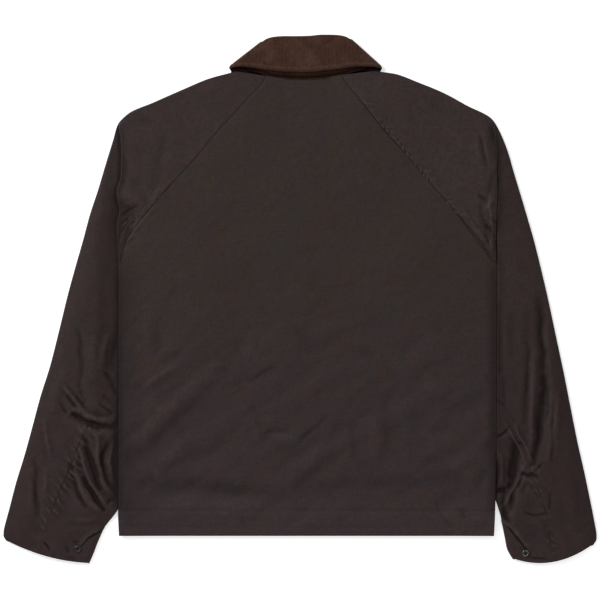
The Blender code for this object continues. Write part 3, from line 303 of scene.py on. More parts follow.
# Small crests in the sleeves' cloth where it is eased in beside the raglan seams, in a lighter copy of the
# cloth as painted highlight, and thin dark patches beside them as painted shade in the hollows between.
# turn: each one's direction in degrees.
PUCKER_COLUMNS = ("x", "y", "length", "width", "height", "turn")
PUCKERS = {
    "crests": (
        (65.6, 655.3, 6, 3.4, 0.55, 115), (69.1, 649.3, 6, 3.1, 0.46, 115),
        (83.6, 630.3, 6, 3.7, 0.46, 115), (88.6, 624.3, 5, 3.1, 0.46, 115),
        (98.6, 610.3, 7, 3.4, 0.73, 115), (105.6, 601.3, 7, 3.4, 0.73, 115),
        (111.1, 593.8, 7, 3.7, 0.82, 115), (118.6, 586.3, 5, 3.4, 0.55, 115),
        (129.1, 575.8, 7.5, 4.3, 0.92, 115), (134.6, 568.8, 8, 4.7, 1.01, 115),
        (140.1, 561.3, 8.5, 5, 1.11, 115), (146.6, 552.8, 8, 4.7, 1.01, 115),
        (159.1, 537.3, 5, 3.1, 0.55, 115), (166.1, 528.8, 6.5, 3.7, 0.73, 115),
        (170.6, 523.3, 7, 4.3, 0.92, 115), (175.6, 517.8, 7, 4, 0.82, 115),
        (193.1, 493.8, 5, 3.4, 0.55, 115), (204.7, 482.3, 7, 4, 0.73, 115),
        (216.3, 469.3, 6, 3.7, 0.55, 115), (-213.5, 492.5, 10, 1.5, 0.32, 229),
        (-221, 484, 10, 1.5, 0.32, 229), (-229, 475.5, 11, 1.5, 0.32, 228),
        (-236.5, 466, 11, 1.5, 0.32, 230), (-244, 457, 11, 1.5, 0.32, 232),
        (-250.5, 447.5, 10, 1.5, 0.32, 234), (-240, 468.5, 9, 1.8, 0.36, 228),
        (-247, 460, 9, 1.8, 0.36, 228), (-254.5, 451, 9, 1.8, 0.36, 230), (-261, 442, 9, 1.8, 0.36, 232),
        (-256, 462, 8, 1.8, 0.36, 226), (-263, 454, 8, 1.8, 0.36, 228), (214, 477.5, 10, 1.5, 0.45, -48),
        (222, 468.5, 11, 1.5, 0.45, -48), (230, 459.5, 11, 1.5, 0.45, -48),
        (238, 449.5, 11, 1.5, 0.45, -50), (246, 439.5, 11, 1.5, 0.45, -51),
        (254, 429, 11, 1.5, 0.45, -53), (262, 417.5, 10, 1.5, 0.45, -55),
    ),
    "hollows": (
        (106.7, 600.8, 6.9, 2.7, 0.5, 115), (112.4, 593.3, 6.9, 2.7, 0.5, 115),
        (119.7, 585.8, 4.8, 2.7, 0.5, 115), (130.7, 575.3, 7.4, 2.7, 0.5, 115),
        (136.3, 568.3, 7.8, 2.7, 0.5, 115), (142, 560.8, 8.3, 2.7, 0.5, 115),
        (148.3, 552.3, 7.8, 2.7, 0.5, 115), (160.1, 536.8, 4.8, 2.7, 0.5, 115),
        (167.4, 528.3, 6.3, 2.7, 0.5, 115), (172.2, 522.8, 6.9, 2.7, 0.5, 115),
        (177, 517.3, 6.9, 2.7, 0.5, 115), (194.2, 493.3, 4.8, 2.7, 0.5, 115),
        (206.1, 481.8, 6.9, 2.7, 0.5, 115), (217.6, 468.8, 5.9, 2.7, 0.5, 115),
        (-243, 463, 10, 1.5, 0.3, 229), (-250.5, 454, 10, 1.5, 0.3, 230),
        (-257.5, 445, 10, 1.5, 0.3, 232), (-260, 458.5, 8, 1.5, 0.3, 227),
        (-252, 466.5, 8, 1.5, 0.3, 227), (-266, 448, 7, 1.5, 0.3, 240), (226.5, 469.5, 9, 1.4, 0.18, -47),
        (236, 459, 9, 1.4, 0.18, -48), (246, 447.5, 9, 1.4, 0.18, -50), (257, 434, 9, 1.4, 0.18, -52),
    ),
}


@dataclass(frozen=True)
class Lay:
    """The heights in millimetres that the layers of the laid jacket lie at."""

    yoke_sleeve: float = 3.5
    rest_sleeve: float = 5.2
    yoke_under: float = 4.0
    rest_under: float = 6.0
    crown: float = 11.0
    middle_back: float = 6.8
    yoke_back: float = 8.0
    side_back: float = 10.8
    neck_hump: float = 1.8
    floor_pad: float = 2.4
    pad_reach: float = 190.0
    pad_start: float = 520.0
    armhole: float = 397.5
    shoulder_tip: float = 596.0
    neck_front: float = 590.0
    overlap: float = 20.0
    overlap_rise: float = 3.0
    overlap_top_rise: float = 2.1
    pad_height: float = 6.8
    left_puff: tuple[float, float] = (6.0, 28.0)
    right_puff: tuple[float, float] = (-1.3, 2.1)

    def floor(self, x: Array, y: Array) -> Array:
        """The underside of the lowest cloth, raised where it lies over the collar's leaf."""
        across = smooth((self.pad_reach - np.abs(x)) / 60)
        return self.floor_pad * across * smooth((y - self.pad_start) / 32)

    def shoulder_share(self, y: Array) -> Array:
        """0 on the yoke, 1 well below the shoulder's tip."""
        return smooth((self.shoulder_tip + 4 - y) / 60)

    def top(self, x: Array, y: Array) -> Array:
        """The top of the back and of the sleeves' caps, without folds.

        Args:
            x: distances from the centre back.
            y: heights above the hem.

        Returns:
            The height above the floor at each place.
        """
        base = self.middle_back + (self.yoke_back - self.middle_back) * ramp(y, 440, 515)
        over = sum(smooth((past_inner_line(side, x, y) + 80) / 100) for side in Side)
        lift = (self.side_back - base) * over * self.shoulder_share(y)
        neck = self.neck_hump * ramp(np.abs(x), 25, 85) * self.floor(x, y) / self.floor_pad
        return base + lift + neck

    def under(self, x: Array, y: Array) -> Array:
        """The underside of the cap's cloth that runs back under it."""
        rest = self.yoke_under + (self.rest_under - self.yoke_under) * self.shoulder_share(y)
        return rest + self.floor(x, y)

    def front(self, x: Array, y: Array) -> Array:
        """The underside of the fronts: on the floor, on the leaf or on the lower sleeves.

        Args:
            x: distances from the centre back.
            y: heights above the hem.

        Returns:
            The height above the floor at each place.
        """
        lift = sum(smooth((past_inner_line(side, x, y) + 55) / 43) for side in Side)
        lift = lift * smooth((self.armhole + 30 - y) / 30) * (0.3 + 0.7 * smooth(y / 28))
        return np.maximum(self.floor(x, y), self.rest_under * lift)

    def right_front(self, x: Array, y: Array) -> Array:
        """The same for the right front, which climbs onto the left one.

        Args:
            x: distances from the centre back.
            y: heights above the hem.

        Returns:
            The height above the floor at each place.
        """
        rise = self.overlap_rise - self.overlap_top_rise
        rise = self.overlap_top_rise + rise * ramp(y, 510, 480)
        return self.front(x, y) + rise * ramp(x, 46, 24)

    def sleeve(self, side: Side, x: Array, y: Array, from_outer: Array, from_inner: Array) -> Array:
        """The top of the lower sleeve: pressed flat under the body, puffed up outside it.

        Args:
            side: the sleeve's side.
            x: distances from the centre back.
            y: heights above the hem.
            from_outer: distances inside the sleeve's outer edge.
            from_inner: distances inside its inner edge.

        Returns:
            The height above the floor at each place.
        """
        rest = self.yoke_sleeve + (self.rest_sleeve - self.yoke_sleeve) * self.shoulder_share(y)
        rest = rest + self.floor(x, y)
        outside = side.sign * x - side_edge(side, y)
        puff_start, puff_reach = self.left_puff if side is Side.LEFT else self.right_puff
        clear = smooth((outside - puff_start) / puff_reach)
        clear = np.maximum(clear, ramp(y, 20, -20))
        rounded = 1 - np.clip(1 - from_outer / 34, 0, 1) ** 2
        rounded = rounded * (1 - np.clip(1 - from_inner / 26, 0, 1) ** 2)
        puff = (self.crown - self.rest_sleeve) * (0.45 + 0.55 * ramp(y, -60, 50))
        detail = SLEEVE_RELIEF[side](x, y)
        near_body = ramp(outside, -4, 6)
        near_body = np.maximum(near_body, ramp(y, 20, 0))
        height = rest + clear * rounded * puff + detail * near_body * np.sqrt(rounded)
        height = np.maximum(height, rest * 0.9)
        stud_x, stud_y = CUFF_STUDS[side]
        pad = ramp(np.hypot(x - stud_x, y - stud_y), 30, 7)
        return height + (self.pad_height - height) * pad


# The heights of the hem's two rows of stitches, and the places of the studs
HEM_ROWS = (13.5, 38.0)
CUFF_STUDS = {Side.LEFT: (-332.2, -18.5), Side.RIGHT: (317.5, -25.0)}


def smooth(share: Array) -> Array:
    """Rises from 0 to 1 with level ends."""
    share = np.clip(share, 0.0, 1.0)
    return share * share * (3.0 - 2.0 * share)


def ramp(values: Array, start: float, end: float) -> Array:
    """0 up to the start and 1 from the end on, with level ends. The end may be the lower one."""
    return smooth((values - start) / (end - start))


def spread(x: Array, y: Array) -> list[Array]:
    """Both as numbers with a fraction, and of one shape."""
    return np.broadcast_arrays(np.asarray(x, dtype=float), np.asarray(y, dtype=float))


def table(rows: tuple, columns: tuple[str, ...]) -> dict[str, Array]:
    """The rows as a dictionary of arrays, one for each named column."""
    return dict(zip(columns, np.array(rows, dtype=float).T))


def even_slope(before: Array, after: Array) -> Array:
    """A slope at a point that never carries the curve past it.

    Args:
        before: the step up to the point.
        after: the step on from it.

    Returns:
        The harmonic mean of both steps, or 0 where they differ in sign.
    """
    same_way = before * after > 0
    total = np.where(same_way, before + after, 1.0)
    return np.where(same_way, 2 * before * after / total, 0.0)


def spline(values: Array, at: Array) -> Array:
    """A smooth curve through evenly spaced values, read at fractional places.

    Args:
        values: the values, one for each whole number.
        at: the places to read.

    Returns:
        The cubic curve between neighbours, with even slopes, at those places.
    """
    last = len(values) - 1
    low = np.clip(np.floor(at).astype(int), 0, last - 1)
    t = at - low
    before, first = values[np.maximum(low - 1, 0)], values[low]
    second, after = values[low + 1], values[np.minimum(low + 2, last)]
    slope_a = even_slope(first - before, second - first)
    slope_b = even_slope(second - first, after - second)
    cube = 2 * (first - second) + slope_a + slope_b
    square = 3 * (second - first) - 2 * slope_a - slope_b
    return ((cube * t + square) * t + slope_a) * t + first


def finer(rows: tuple, columns: tuple[str, ...], count: int) -> dict[str, Array]:
    """The named columns read at evenly spread places along the rows."""
    at = np.linspace(0, len(rows) - 1, count)
    return {name: spline(values, at) for name, values in table(rows, columns).items()}


def pair(rows: dict[str, Array], name: str) -> Array:
    """The x and y columns of that name, side by side."""
    return np.column_stack([rows[f"{name}_x"], rows[f"{name}_y"]])


def unit(ways: Array) -> Array:
    """The same directions, one long."""
    return ways / np.linalg.norm(ways, axis=1)[:, None]


def bell(distance: Array, width: float) -> Array:
    """1 on a line, falling to nothing on both sides of it."""
    return np.exp(-((distance / width) ** 2))


def inner_line(side: Side) -> tuple[Array, Array]:
    """The hidden edge of the lower sleeve: rising heights and distances from the centre.

    Args:
        side: the sleeve's side.

    Returns:
        Rising heights, and the distance from the centre at each.
    """
    tube, raglan = table(TUBE[side], TUBE_COLUMNS), table(RAGLAN[side], RAGLAN_COLUMNS)
    crease = np.abs(raglan["outer_x"]) - raglan["inset"] - raglan["tuck"]
    heights = np.concatenate([tube["inner_y"][::-1], raglan["outer_y"][5:11][::-1]])
    return heights, np.concatenate([np.abs(tube["inner_x"])[::-1], crease[5:11][::-1]])


def past_inner_line(side: Side, x: Array, y: Array) -> Array:
    """How far a point lies outside the hidden edge of the lower sleeve."""
    heights, reach = inner_line(side)
    return (side.sign * x - np.interp(y, heights, reach)) * math.cos(math.radians(25))


def side_edge(side: Side, y: Array) -> Array:
    """The distance of the body's side edge, and of the cap's folded edge, from the centre.

    Args:
        side: the body's side.
        y: heights above the hem.

    Returns:
        The distance at each height.
    """
    sides, raglan = table(SIDES, SIDE_COLUMNS), table(RAGLAN[side], RAGLAN_COLUMNS)
    fold = np.abs(raglan["outer_x"]) - raglan["inset"]
    heights = np.concatenate([sides["height"], raglan["outer_y"][5:11][::-1]])
    reach = np.concatenate([np.abs(sides[side.value]), fold[5:11][::-1]])
    return np.interp(y, heights, reach) + edge_wave(side, y)


def edge_wave(side: Side, y: Array) -> Array:
    """How far the cap's folded edge strays outwards at these heights."""
    waves = table(EDGE_WAVES, EDGE_WAVE_COLUMNS)
    return np.interp(y, waves["height"], waves["out"]) * (side is Side.LEFT)


@dataclass(frozen=True)
class Folds:
    """Soft ridges and troughs along bent lines, steeper on one side."""

    rows: tuple
    steps: int = 28

    def __call__(self, x: Array, y: Array) -> Array:
        """The height they add. Each follows the bell curve of the distance from its line.

        Args:
            x: distances from the centre back.
            y: heights above the hem.

        Returns:
            The height added at each place.
        """
        x, y = spread(x, y)
        x, y = x + WANDER[0](x, y) + WANDER[2](x, y), y + WANDER[1](x, y) + WANDER[3](x, y)
        total = np.zeros(x.shape)
        t = np.linspace(0, 1, self.steps)
        for x0, y0, x1, y1, x2, y2, width, lean, height in self.rows:
            line_x = (1 - t) ** 2 * x0 + 2 * t * (1 - t) * x1 + t**2 * x2
            line_y = (1 - t) ** 2 * y0 + 2 * t * (1 - t) * y1 + t**2 * y2
            way_x, way_y = np.gradient(line_x), np.gradient(line_y)
            length = np.hypot(way_x, way_y)
            way_x, way_y = way_x / length, way_y / length
            reach = 3 * width
            near = (x > line_x.min() - reach) & (x < line_x.max() + reach)
            near &= (y > line_y.min() - reach) & (y < line_y.max() + reach)
            if not near.any():
                continue
            px, py = x[near], y[near]
            gap = (px[:, None] - line_x) ** 2 + (py[:, None] - line_y) ** 2
            index = np.argmin(gap, axis=1)
            dx, dy = px - line_x[index], py - line_y[index]
            along = dx * way_x[index] + dy * way_y[index]
            off = dy * way_x[index] - dx * way_y[index]
            share = np.clip(t[index] + along / length.sum(), 0, 1)
            fade = np.sin(math.pi * share) ** 0.6
            half = np.where(off > 0, width * lean, width)
            away = np.where((index == 0) | (index == self.steps - 1), gap.min(axis=1), off**2)
            total[near] += height * fade * np.exp(-away / half**2)
        return total


@dataclass(frozen=True)
class Crumple:
    """Gentle unevenness: a net of seeded random heights, smoothed between its knots."""

    seed: int
    length: float
    width: float
    angle: float
    height: float
    knots: int = 96

    def __call__(self, x: Array, y: Array) -> Array:
        """The height it adds, stretched along its angle by its length.

        Args:
            x: distances from the centre back.
            y: heights above the hem.

        Returns:
            The height added at each place.
        """
        x, y = spread(x, y)
        net = np.random.default_rng(self.seed).uniform(-1, 1, (self.knots, self.knots))
        turn = math.radians(self.angle)
        u = (x * math.cos(turn) + y * math.sin(turn)) / self.length + 0.37 * self.knots
        v = (y * math.cos(turn) - x * math.sin(turn)) / self.width + 0.41 * self.knots
        i, j = np.floor(u).astype(int), np.floor(v).astype(int)
        a, b = smooth(u - i), smooth(v - j)
        i, j = i % self.knots, j % self.knots
        i2, j2 = (i + 1) % self.knots, (j + 1) % self.knots
        low = net[i, j] * (1 - a) + net[i2, j] * a
        high = net[i, j2] * (1 - a) + net[i2, j2] * a
        return self.height * (low * (1 - b) + high * b)


# How far folds stray from their lines, along x and y by turns, first broadly and then finely
WANDER = tuple(
    Crumple(seed, size, size, 0, height)
    for seed, size, height in ((51, 17, 1.5), (52, 17, 1.5), (53, 6, 0.45), (54, 6, 0.45))
)


@dataclass(frozen=True)
class SeamLine:
    """A sewn line, with its groove and the puckers beside it."""

    points: tuple
    groove: float
    puckers: tuple
    seed: int
    groove_width: float = 1.2
    margin: float = 40.0

    def locate(self, x: Array, y: Array) -> tuple[Array, Array]:
        """Distances along the line and off it, to the left of its way.

        Args:
            x: distances from the centre back.
            y: heights above the hem.

        Returns:
            The distance along the line of the nearest place on it, and the signed distance off it.
        """
        line = np.array(self.points, dtype=float)
        best = np.full(x.shape, np.inf)
        along, off = np.zeros(x.shape), np.full(x.shape, 1e3)
        start = 0.0
        for first, second in zip(line[:-1], line[1:]):
            way = second - first
            length = math.hypot(*way)
            way = way / length
            dx, dy = x - first[0], y - first[1]
            t = np.clip(dx * way[0] + dy * way[1], 0, length)
            gap = np.hypot(dx - t * way[0], dy - t * way[1])
            closer = gap < best
            side = np.sign(dy * way[0] - dx * way[1])
            best = np.where(closer, gap, best)
            along = np.where(closer, start + t, along)
            off = np.where(closer, gap * side, off)
            start += length
        return along, off

    def __call__(self, x: Array, y: Array) -> Array:
        """The height that the groove and the puckers add.

        Args:
            x: distances from the centre back.
            y: heights above the hem.

        Returns:
            The height added at each place.
        """
        x, y = spread(x, y)
        total = np.zeros(x.shape)
        near = self._near(x, y)
        if not near.any():
            return total
        along, off = self.locate(x[near], y[near])
        height = -self.groove * bell(off, self.groove_width)
        random = np.random.default_rng(self.seed)
        for start, end, pitch, reach, slant, rise in self.puckers:
            place = start
            while place < end:
                size = random.uniform(0.45, 1.15)
                lean = slant * random.uniform(0.5, 1.4)
                width = pitch * random.uniform(0.16, 0.28)
                away = np.clip(off * np.sign(reach), 0, None) / (abs(reach) * size)
                envelope = away * np.exp(1 - away) * np.exp(-(away**2) / 6)
                crest = bell(along - place - lean * np.abs(off), width)
                height = height + rise * size * envelope * crest
                place += pitch * random.uniform(0.6, 1.6)
        total[near] = height
        return total

    def _near(self, x: Array, y: Array) -> Array:
        """The points within reach of the line's box.

        Args:
            x: distances from the centre back.
            y: heights above the hem.

        Returns:
            Whether each point is that near.
        """
        line = np.array(self.points, dtype=float)
        low, high = line.min(axis=0) - self.margin, line.max(axis=0) + self.margin
        return (x > low[0]) & (x < high[0]) & (y > low[1]) & (y < high[1])


@dataclass(frozen=True)
class Relief:
    """Several kinds of relief added together."""

    parts: tuple

    def __call__(self, x: Array, y: Array) -> Array:
        """Their summed height."""
        return sum(part(x, y) for part in self.parts)


def raglan_line(side: Side) -> tuple:
    """The back raglan seam, from the armhole up to the neck."""
    rows = finer(RAGLAN[side], RAGLAN_COLUMNS, 60)
    return tuple(zip(rows["seam_x"][::-1], rows["seam_y"][::-1]))


def back_arm_line(side: Side) -> tuple:
    """The back-arm seam on the upper side of the sleeve, from the armhole to the cuff.

    Args:
        side: the sleeve's side.

    Returns:
        The points of the line, x before y.
    """
    rows = finer(TUBE[side], TUBE_COLUMNS, 60)
    share = rows["seam"]
    x = rows["inner_x"] + (rows["outer_x"] - rows["inner_x"]) * share
    y = rows["inner_y"] + (rows["outer_y"] - rows["inner_y"]) * share
    return tuple(zip(x, y - rows["bow"] * 4 * share * (1 - share)))


# Puckers: from and to along the seam, pitch, reach off it with the side, slant, height
RAGLAN_SEAMS = {
    side: SeamLine(raglan_line(side), 0.42, puckers, seed)
    for side, puckers, seed in (
        (Side.LEFT, ((60, 130, 26, 5, 0.5, 0.9), (130, 300, 48, 4, 0.4, 0.4)), 11),
        (Side.RIGHT, ((70, 300, 11, -5, -0.7, 1.5),), 12),
    )
}
ARM_SEAMS = {
    side: SeamLine(back_arm_line(side), groove, puckers, seed)
    for side, groove, puckers, seed in (
        (Side.LEFT, 0.14, ((255, 405, 10, 6, 0.36, 3), (260, 440, 11, -4.5, -0.5, 1.3)), 13),
        (Side.RIGHT, 0.1, ((330, 450, 11, 4.5, 0.5, 1), (330, 450, 12, -4.5, -0.5, 1)), 14),
    )
}
SLEEVE_RELIEF = {
    side: Relief((
        Folds(SLEEVE_FOLDS[side]),
        ARM_SEAMS[side],
        Crumple(21 + index, 46, 24, 90 + 10 * side.sign, 0.8),
        Crumple(23 + index, 15, 11, 70, 0.22),
    ))
    for index, side in enumerate(Side)
}


class BackRelief:
    """The folds of the back and the caps: they share the body's top height."""

    hem_depth = 0.35

    def __init__(self) -> None:
        """Collects the folds, seams and unevenness."""
        caps = tuple(Folds(CAP_FOLDS[side]) for side in Side)
        seams = tuple(RAGLAN_SEAMS[side] for side in Side)
        self.sharp = Relief((Folds(BACK_FOLDS), *caps, *seams))
        self.ripple = Crumple(31, 85, 24, 32, 0.9)
        self.small = Crumple(32, 22, 12, 30, 0.26)
        self.calm = Crumple(33, 60, 44, 20, 0.5)

    def __call__(self, x: Array, y: Array) -> Array:
        """Their height: diagonal ripples below, a calmer yoke above, and the hem's two seams.

        Args:
            x: distances from the centre back.
            y: heights above the hem.

        Returns:
            The height added at each place.
        """
        lower = 1 - ramp(y, 150, 410)
        hem = -self.hem_depth * bell(y - HEM_ROWS[0], 1.2) - self.hem_depth * bell(y - HEM_ROWS[1], 1.3)
        hem = hem + self.hem_depth * smooth((HEM_ROWS[1] - y) / 3)
        inside = ramp(np.abs(x), 270, 258)
        soft = self.ripple(x, y) * (0.15 + 0.85 * lower) + self.calm(x, y) * (1 - 0.5 * lower)
        soft = soft + self.small(x, y) * (0.35 + 0.65 * lower)
        return self.sharp(x, y) + hem + soft * (0.3 + 0.7 * inside) * ramp(y, -12, 28)


BACK_RELIEF = BackRelief()
LAY = Lay()


def cloth_top(x: Array, y: Array) -> Array:
    """The top of the back and the caps, with its folds."""
    return LAY.top(x, y) + BACK_RELIEF(x, y)


@dataclass
class Band:
    """Rows of points across one stretch of a surface, with the way each faces."""

    points: Array
    normals: Array

    @staticmethod
    def join(bands: list["Band"]) -> "Band":
        """The bands side by side.

        Args:
            bands: bands with as many rows as one another.

        Returns:
            One band.
        """
        return Band(
            np.concatenate([band.points for band in bands], axis=1),
            np.concatenate([band.normals for band in bands], axis=1),
        )

    @staticmethod
    def stack(bands: tuple["Band", ...]) -> tuple[Array, Array, list[Table]]:
        """All the points, the way each faces, and each band's table of point numbers.

        Args:
            bands: the bands, in the order of their points.

        Returns:
            The points, their directions and the tables.
        """
        starts = np.cumsum([0] + [band.points[..., 0].size for band in bands])
        points = np.concatenate([band.points.reshape(-1, 3) for band in bands])
        normals = np.concatenate([band.normals.reshape(-1, 3) for band in bands])
        tables = [
            start + np.arange(band.points[..., 0].size).reshape(band.points.shape[:2])
            for start, band in zip(starts, bands)
        ]
        return points, normals, tables

    @staticmethod
    def level(plan: Array, height: Height, up: bool) -> "Band":
        """A flat layer at places in plan, facing straight up or down.

        Args:
            plan: the places, x before y.
            height: the layer's height there.
            up: whether it faces up.

        Returns:
            The layer as a band.
        """
        z = np.broadcast_to(height(plan[..., 0], plan[..., 1]), plan.shape[:-1])
        normals = np.zeros((*plan.shape[:-1], 3))
        normals[..., 2] = 1.0 if up else -1.0
        return Band(np.concatenate([plan, z[..., None]], axis=-1), normals)

    @staticmethod
    def turn(
        centre: Array, out: Array, reach: Array, axis_z: Array, radius: Array,
        degrees: Array | tuple[float, ...], hollow: bool = False,
    ) -> "Band":
        """A fold's round edge, from its upper face to its lower one.

        Args:
            centre: the fold's axis in plan, for each row.
            out: the way it bulges, in plan.
            reach: how far it bulges.
            axis_z: the height of its axis.
            radius: half of its height.
            degrees: the places round it, 90 at the top.
            hollow: whether the cloth's face is on its inside.

        Returns:
            The round edge as a band.
        """
        angles = np.radians(degrees)
        cosine, sine = np.cos(angles), np.sin(angles)
        plan = centre[:, None] + (out * reach[:, None])[:, None] * cosine[None, :, None]
        z = axis_z[:, None] + radius[:, None] * sine
        way = np.concatenate([
            np.broadcast_to(out[:, None], plan.shape) * cosine[None, :, None],
            np.broadcast_to(sine[None, :, None], (*plan.shape[:2], 1)),
        ], axis=-1)
        return Band(np.concatenate([plan, z[..., None]], axis=-1), -way if hollow else way)


def sagged(start: Array, end: Array, share: Array, bow: Array | float = 0.0) -> Array:
    """Places between two rows of points, with the middle let down toward the cuff or hem.

    Args:
        start: the first point of each row.
        end: the last one.
        share: shares of the way from one to the other.
        bow: how far the middle is let down, as a parabola.

    Returns:
        The places in plan.
    """
    share = np.broadcast_to(share, (len(start), np.shape(share)[-1]))
    plan = start[:, None] + (end - start)[:, None] * share[..., None]
    plan[..., 1] -= np.reshape(bow, (-1, 1)) * 4 * share * (1 - share)
    return plan


def skew(direction: Array, line: Array) -> Array:
    """How much longer a fold's width is along a section than square to the folded edge.

    Args:
        direction: the way of each section.
        line: the folded edge, a point for each section.

    Returns:
        1 over the sine of the angle between them.
    """
    along = unit(np.gradient(line, axis=0))
    crossing = np.abs(direction[:, 0] * along[:, 1] - direction[:, 1] * along[:, 0])
    return 1 / np.maximum(crossing, 0.36)


def graded(count: int, finest: float = 0.35) -> Array:
    """Shares from 0 to 1 that lie closer together toward both ends."""
    t = np.linspace(0, 1, count)
    return t * finest + (1 - finest) * (0.5 - 0.5 * np.cos(math.pi * t))


def quads_of(grid: Table) -> Table:
    """Faces between neighbouring rows and columns of a table of point numbers."""
    corners = (grid[:-1, :-1], grid[:-1, 1:], grid[1:, 1:], grid[1:, :-1])
    return np.stack([corner.ravel() for corner in corners], axis=1)


class Graph:
    """A material's nodes. Wherever a value is asked for, it may be a socket or a fixed one."""

    def __init__(self, tree: bpy.types.NodeTree) -> None:
        """Keeps the tree and makes the cloth's own coordinates."""
        self.tree = tree
        self.place = self.node("TexCoord", {}).outputs["Object"]

    def node(self, kind: str, inputs: dict[str | int, object], **settings: object) -> bpy.types.Node:
        """A node with its settings made and its inputs filled.

        Args:
            kind: the node's kind.
            inputs: its inputs by name or number.
            settings: its other properties.

        Returns:
            The node.
        """
        node = self.tree.nodes.new(f"ShaderNode{kind}")
        for key, value in settings.items():
            setattr(node, key, value)
        self.fill(node, inputs)
        return node

    def fill(self, node: bpy.types.Node, inputs: dict[str | int, object]) -> None:
        """Links each input to a socket, or sets it to a fixed value.

        Args:
            node: the node.
            inputs: its inputs by name or number.
        """
        for key, value in inputs.items():
            if isinstance(value, bpy.types.NodeSocket):
                self.tree.links.new(value, node.inputs[key])
            else:
                node.inputs[key].default_value = value

    def finish(self, inputs: dict[str | int, object]) -> None:
        """Fills the inputs of the surface itself."""
        self.fill(self.tree.nodes["Principled BSDF"], inputs)

    def attribute(self, name: str) -> object:
        """The piece's own numbers of that name."""
        return self.node("Attribute", {}, attribute_name=name).outputs["Fac"]

    def noise(self, scale: float, detail: float, at: object) -> object:
        """A cloudy pattern of that many features to the metre."""
        return self.node("TexNoise", {"Scale": scale, "Detail": detail, "Vector": at}).outputs["Fac"]

    def mapped(self, value: object, low: float, high: float, out: tuple[float, float]) -> object:
        """The value's range from low to high, spread over another range and held inside it.

        Args:
            value: what is spread.
            low: the start of its range.
            high: the end of it.
            out: the other range.

        Returns:
            The new value.
        """
        return self.node("MapRange", {
            "Value": value, "From Min": low, "From Max": high, "To Min": out[0], "To Max": out[1],
        }).outputs["Result"]

    def blend(self, factor: object, first: object, second: object, mode: str = "MIX") -> object:
        """Two colours mixed by a factor."""
        inputs = {0: factor, 6: first, 7: second}
        return self.node("Mix", inputs, data_type="RGBA", blend_type=mode).outputs[2]

    def maths(self, kind: str, first: object, second: object = 0.0) -> object:
        """One sum of one or two values."""
        return self.node("Math", {0: first, 1: second}, operation=kind).outputs[0]

    def toned(self, tint: object, value: object) -> object:
        """A colour made lighter or darker."""
        return self.node("HueSaturation", {"Color": tint, "Value": value}).outputs["Color"]

    def bump(self, height: object, distance: float, under: object | None = None) -> object:
        """A fine relief that many metres high, on top of another one.

        Args:
            height: the relief.
            distance: how high it is, in metres.
            under: the relief under it.

        Returns:
            The direction that the surface faces.
        """
        inputs = {"Strength": 1.0, "Distance": distance, "Height": height}
        if under is not None:
            inputs["Normal"] = under
        return self.node("Bump", inputs).outputs["Normal"]

    def stretched(self, degrees: float, by: float, shift: float | None = None) -> object:
        """Coordinates that draw a pattern out along an angle, moved first so that it differs.

        Args:
            degrees: the angle.
            by: how far it is drawn out.
            shift: how far it is moved first.

        Returns:
            The coordinates.
        """
        place = self.place
        if shift is not None:
            moved = self.node("VectorMath", {0: place, 1: (shift, shift, shift)}, operation="ADD")
            place = moved.outputs[0]
        turn = (0.0, 0.0, math.radians(degrees))
        inputs = {"Rotation": turn, "Scale": (by, 1.0, 1.0), "Vector": place}
        return self.node("Mapping", inputs, vector_type="TEXTURE").outputs["Vector"]


@dataclass(frozen=True)
class Finish:
    """The base of every finish."""

    name: str

    @cache
    def make(self) -> bpy.types.Material:
        """The material, made on first use and kept.

        Returns:
            The finish's material.
        """
        material = bpy.data.materials.new(self.name)
        material.use_nodes = True
        self.dress(Graph(material.node_tree))
        return material

    def dress(self, graph: Graph) -> None:
        """Fills in the material's nodes."""
        raise NotImplementedError


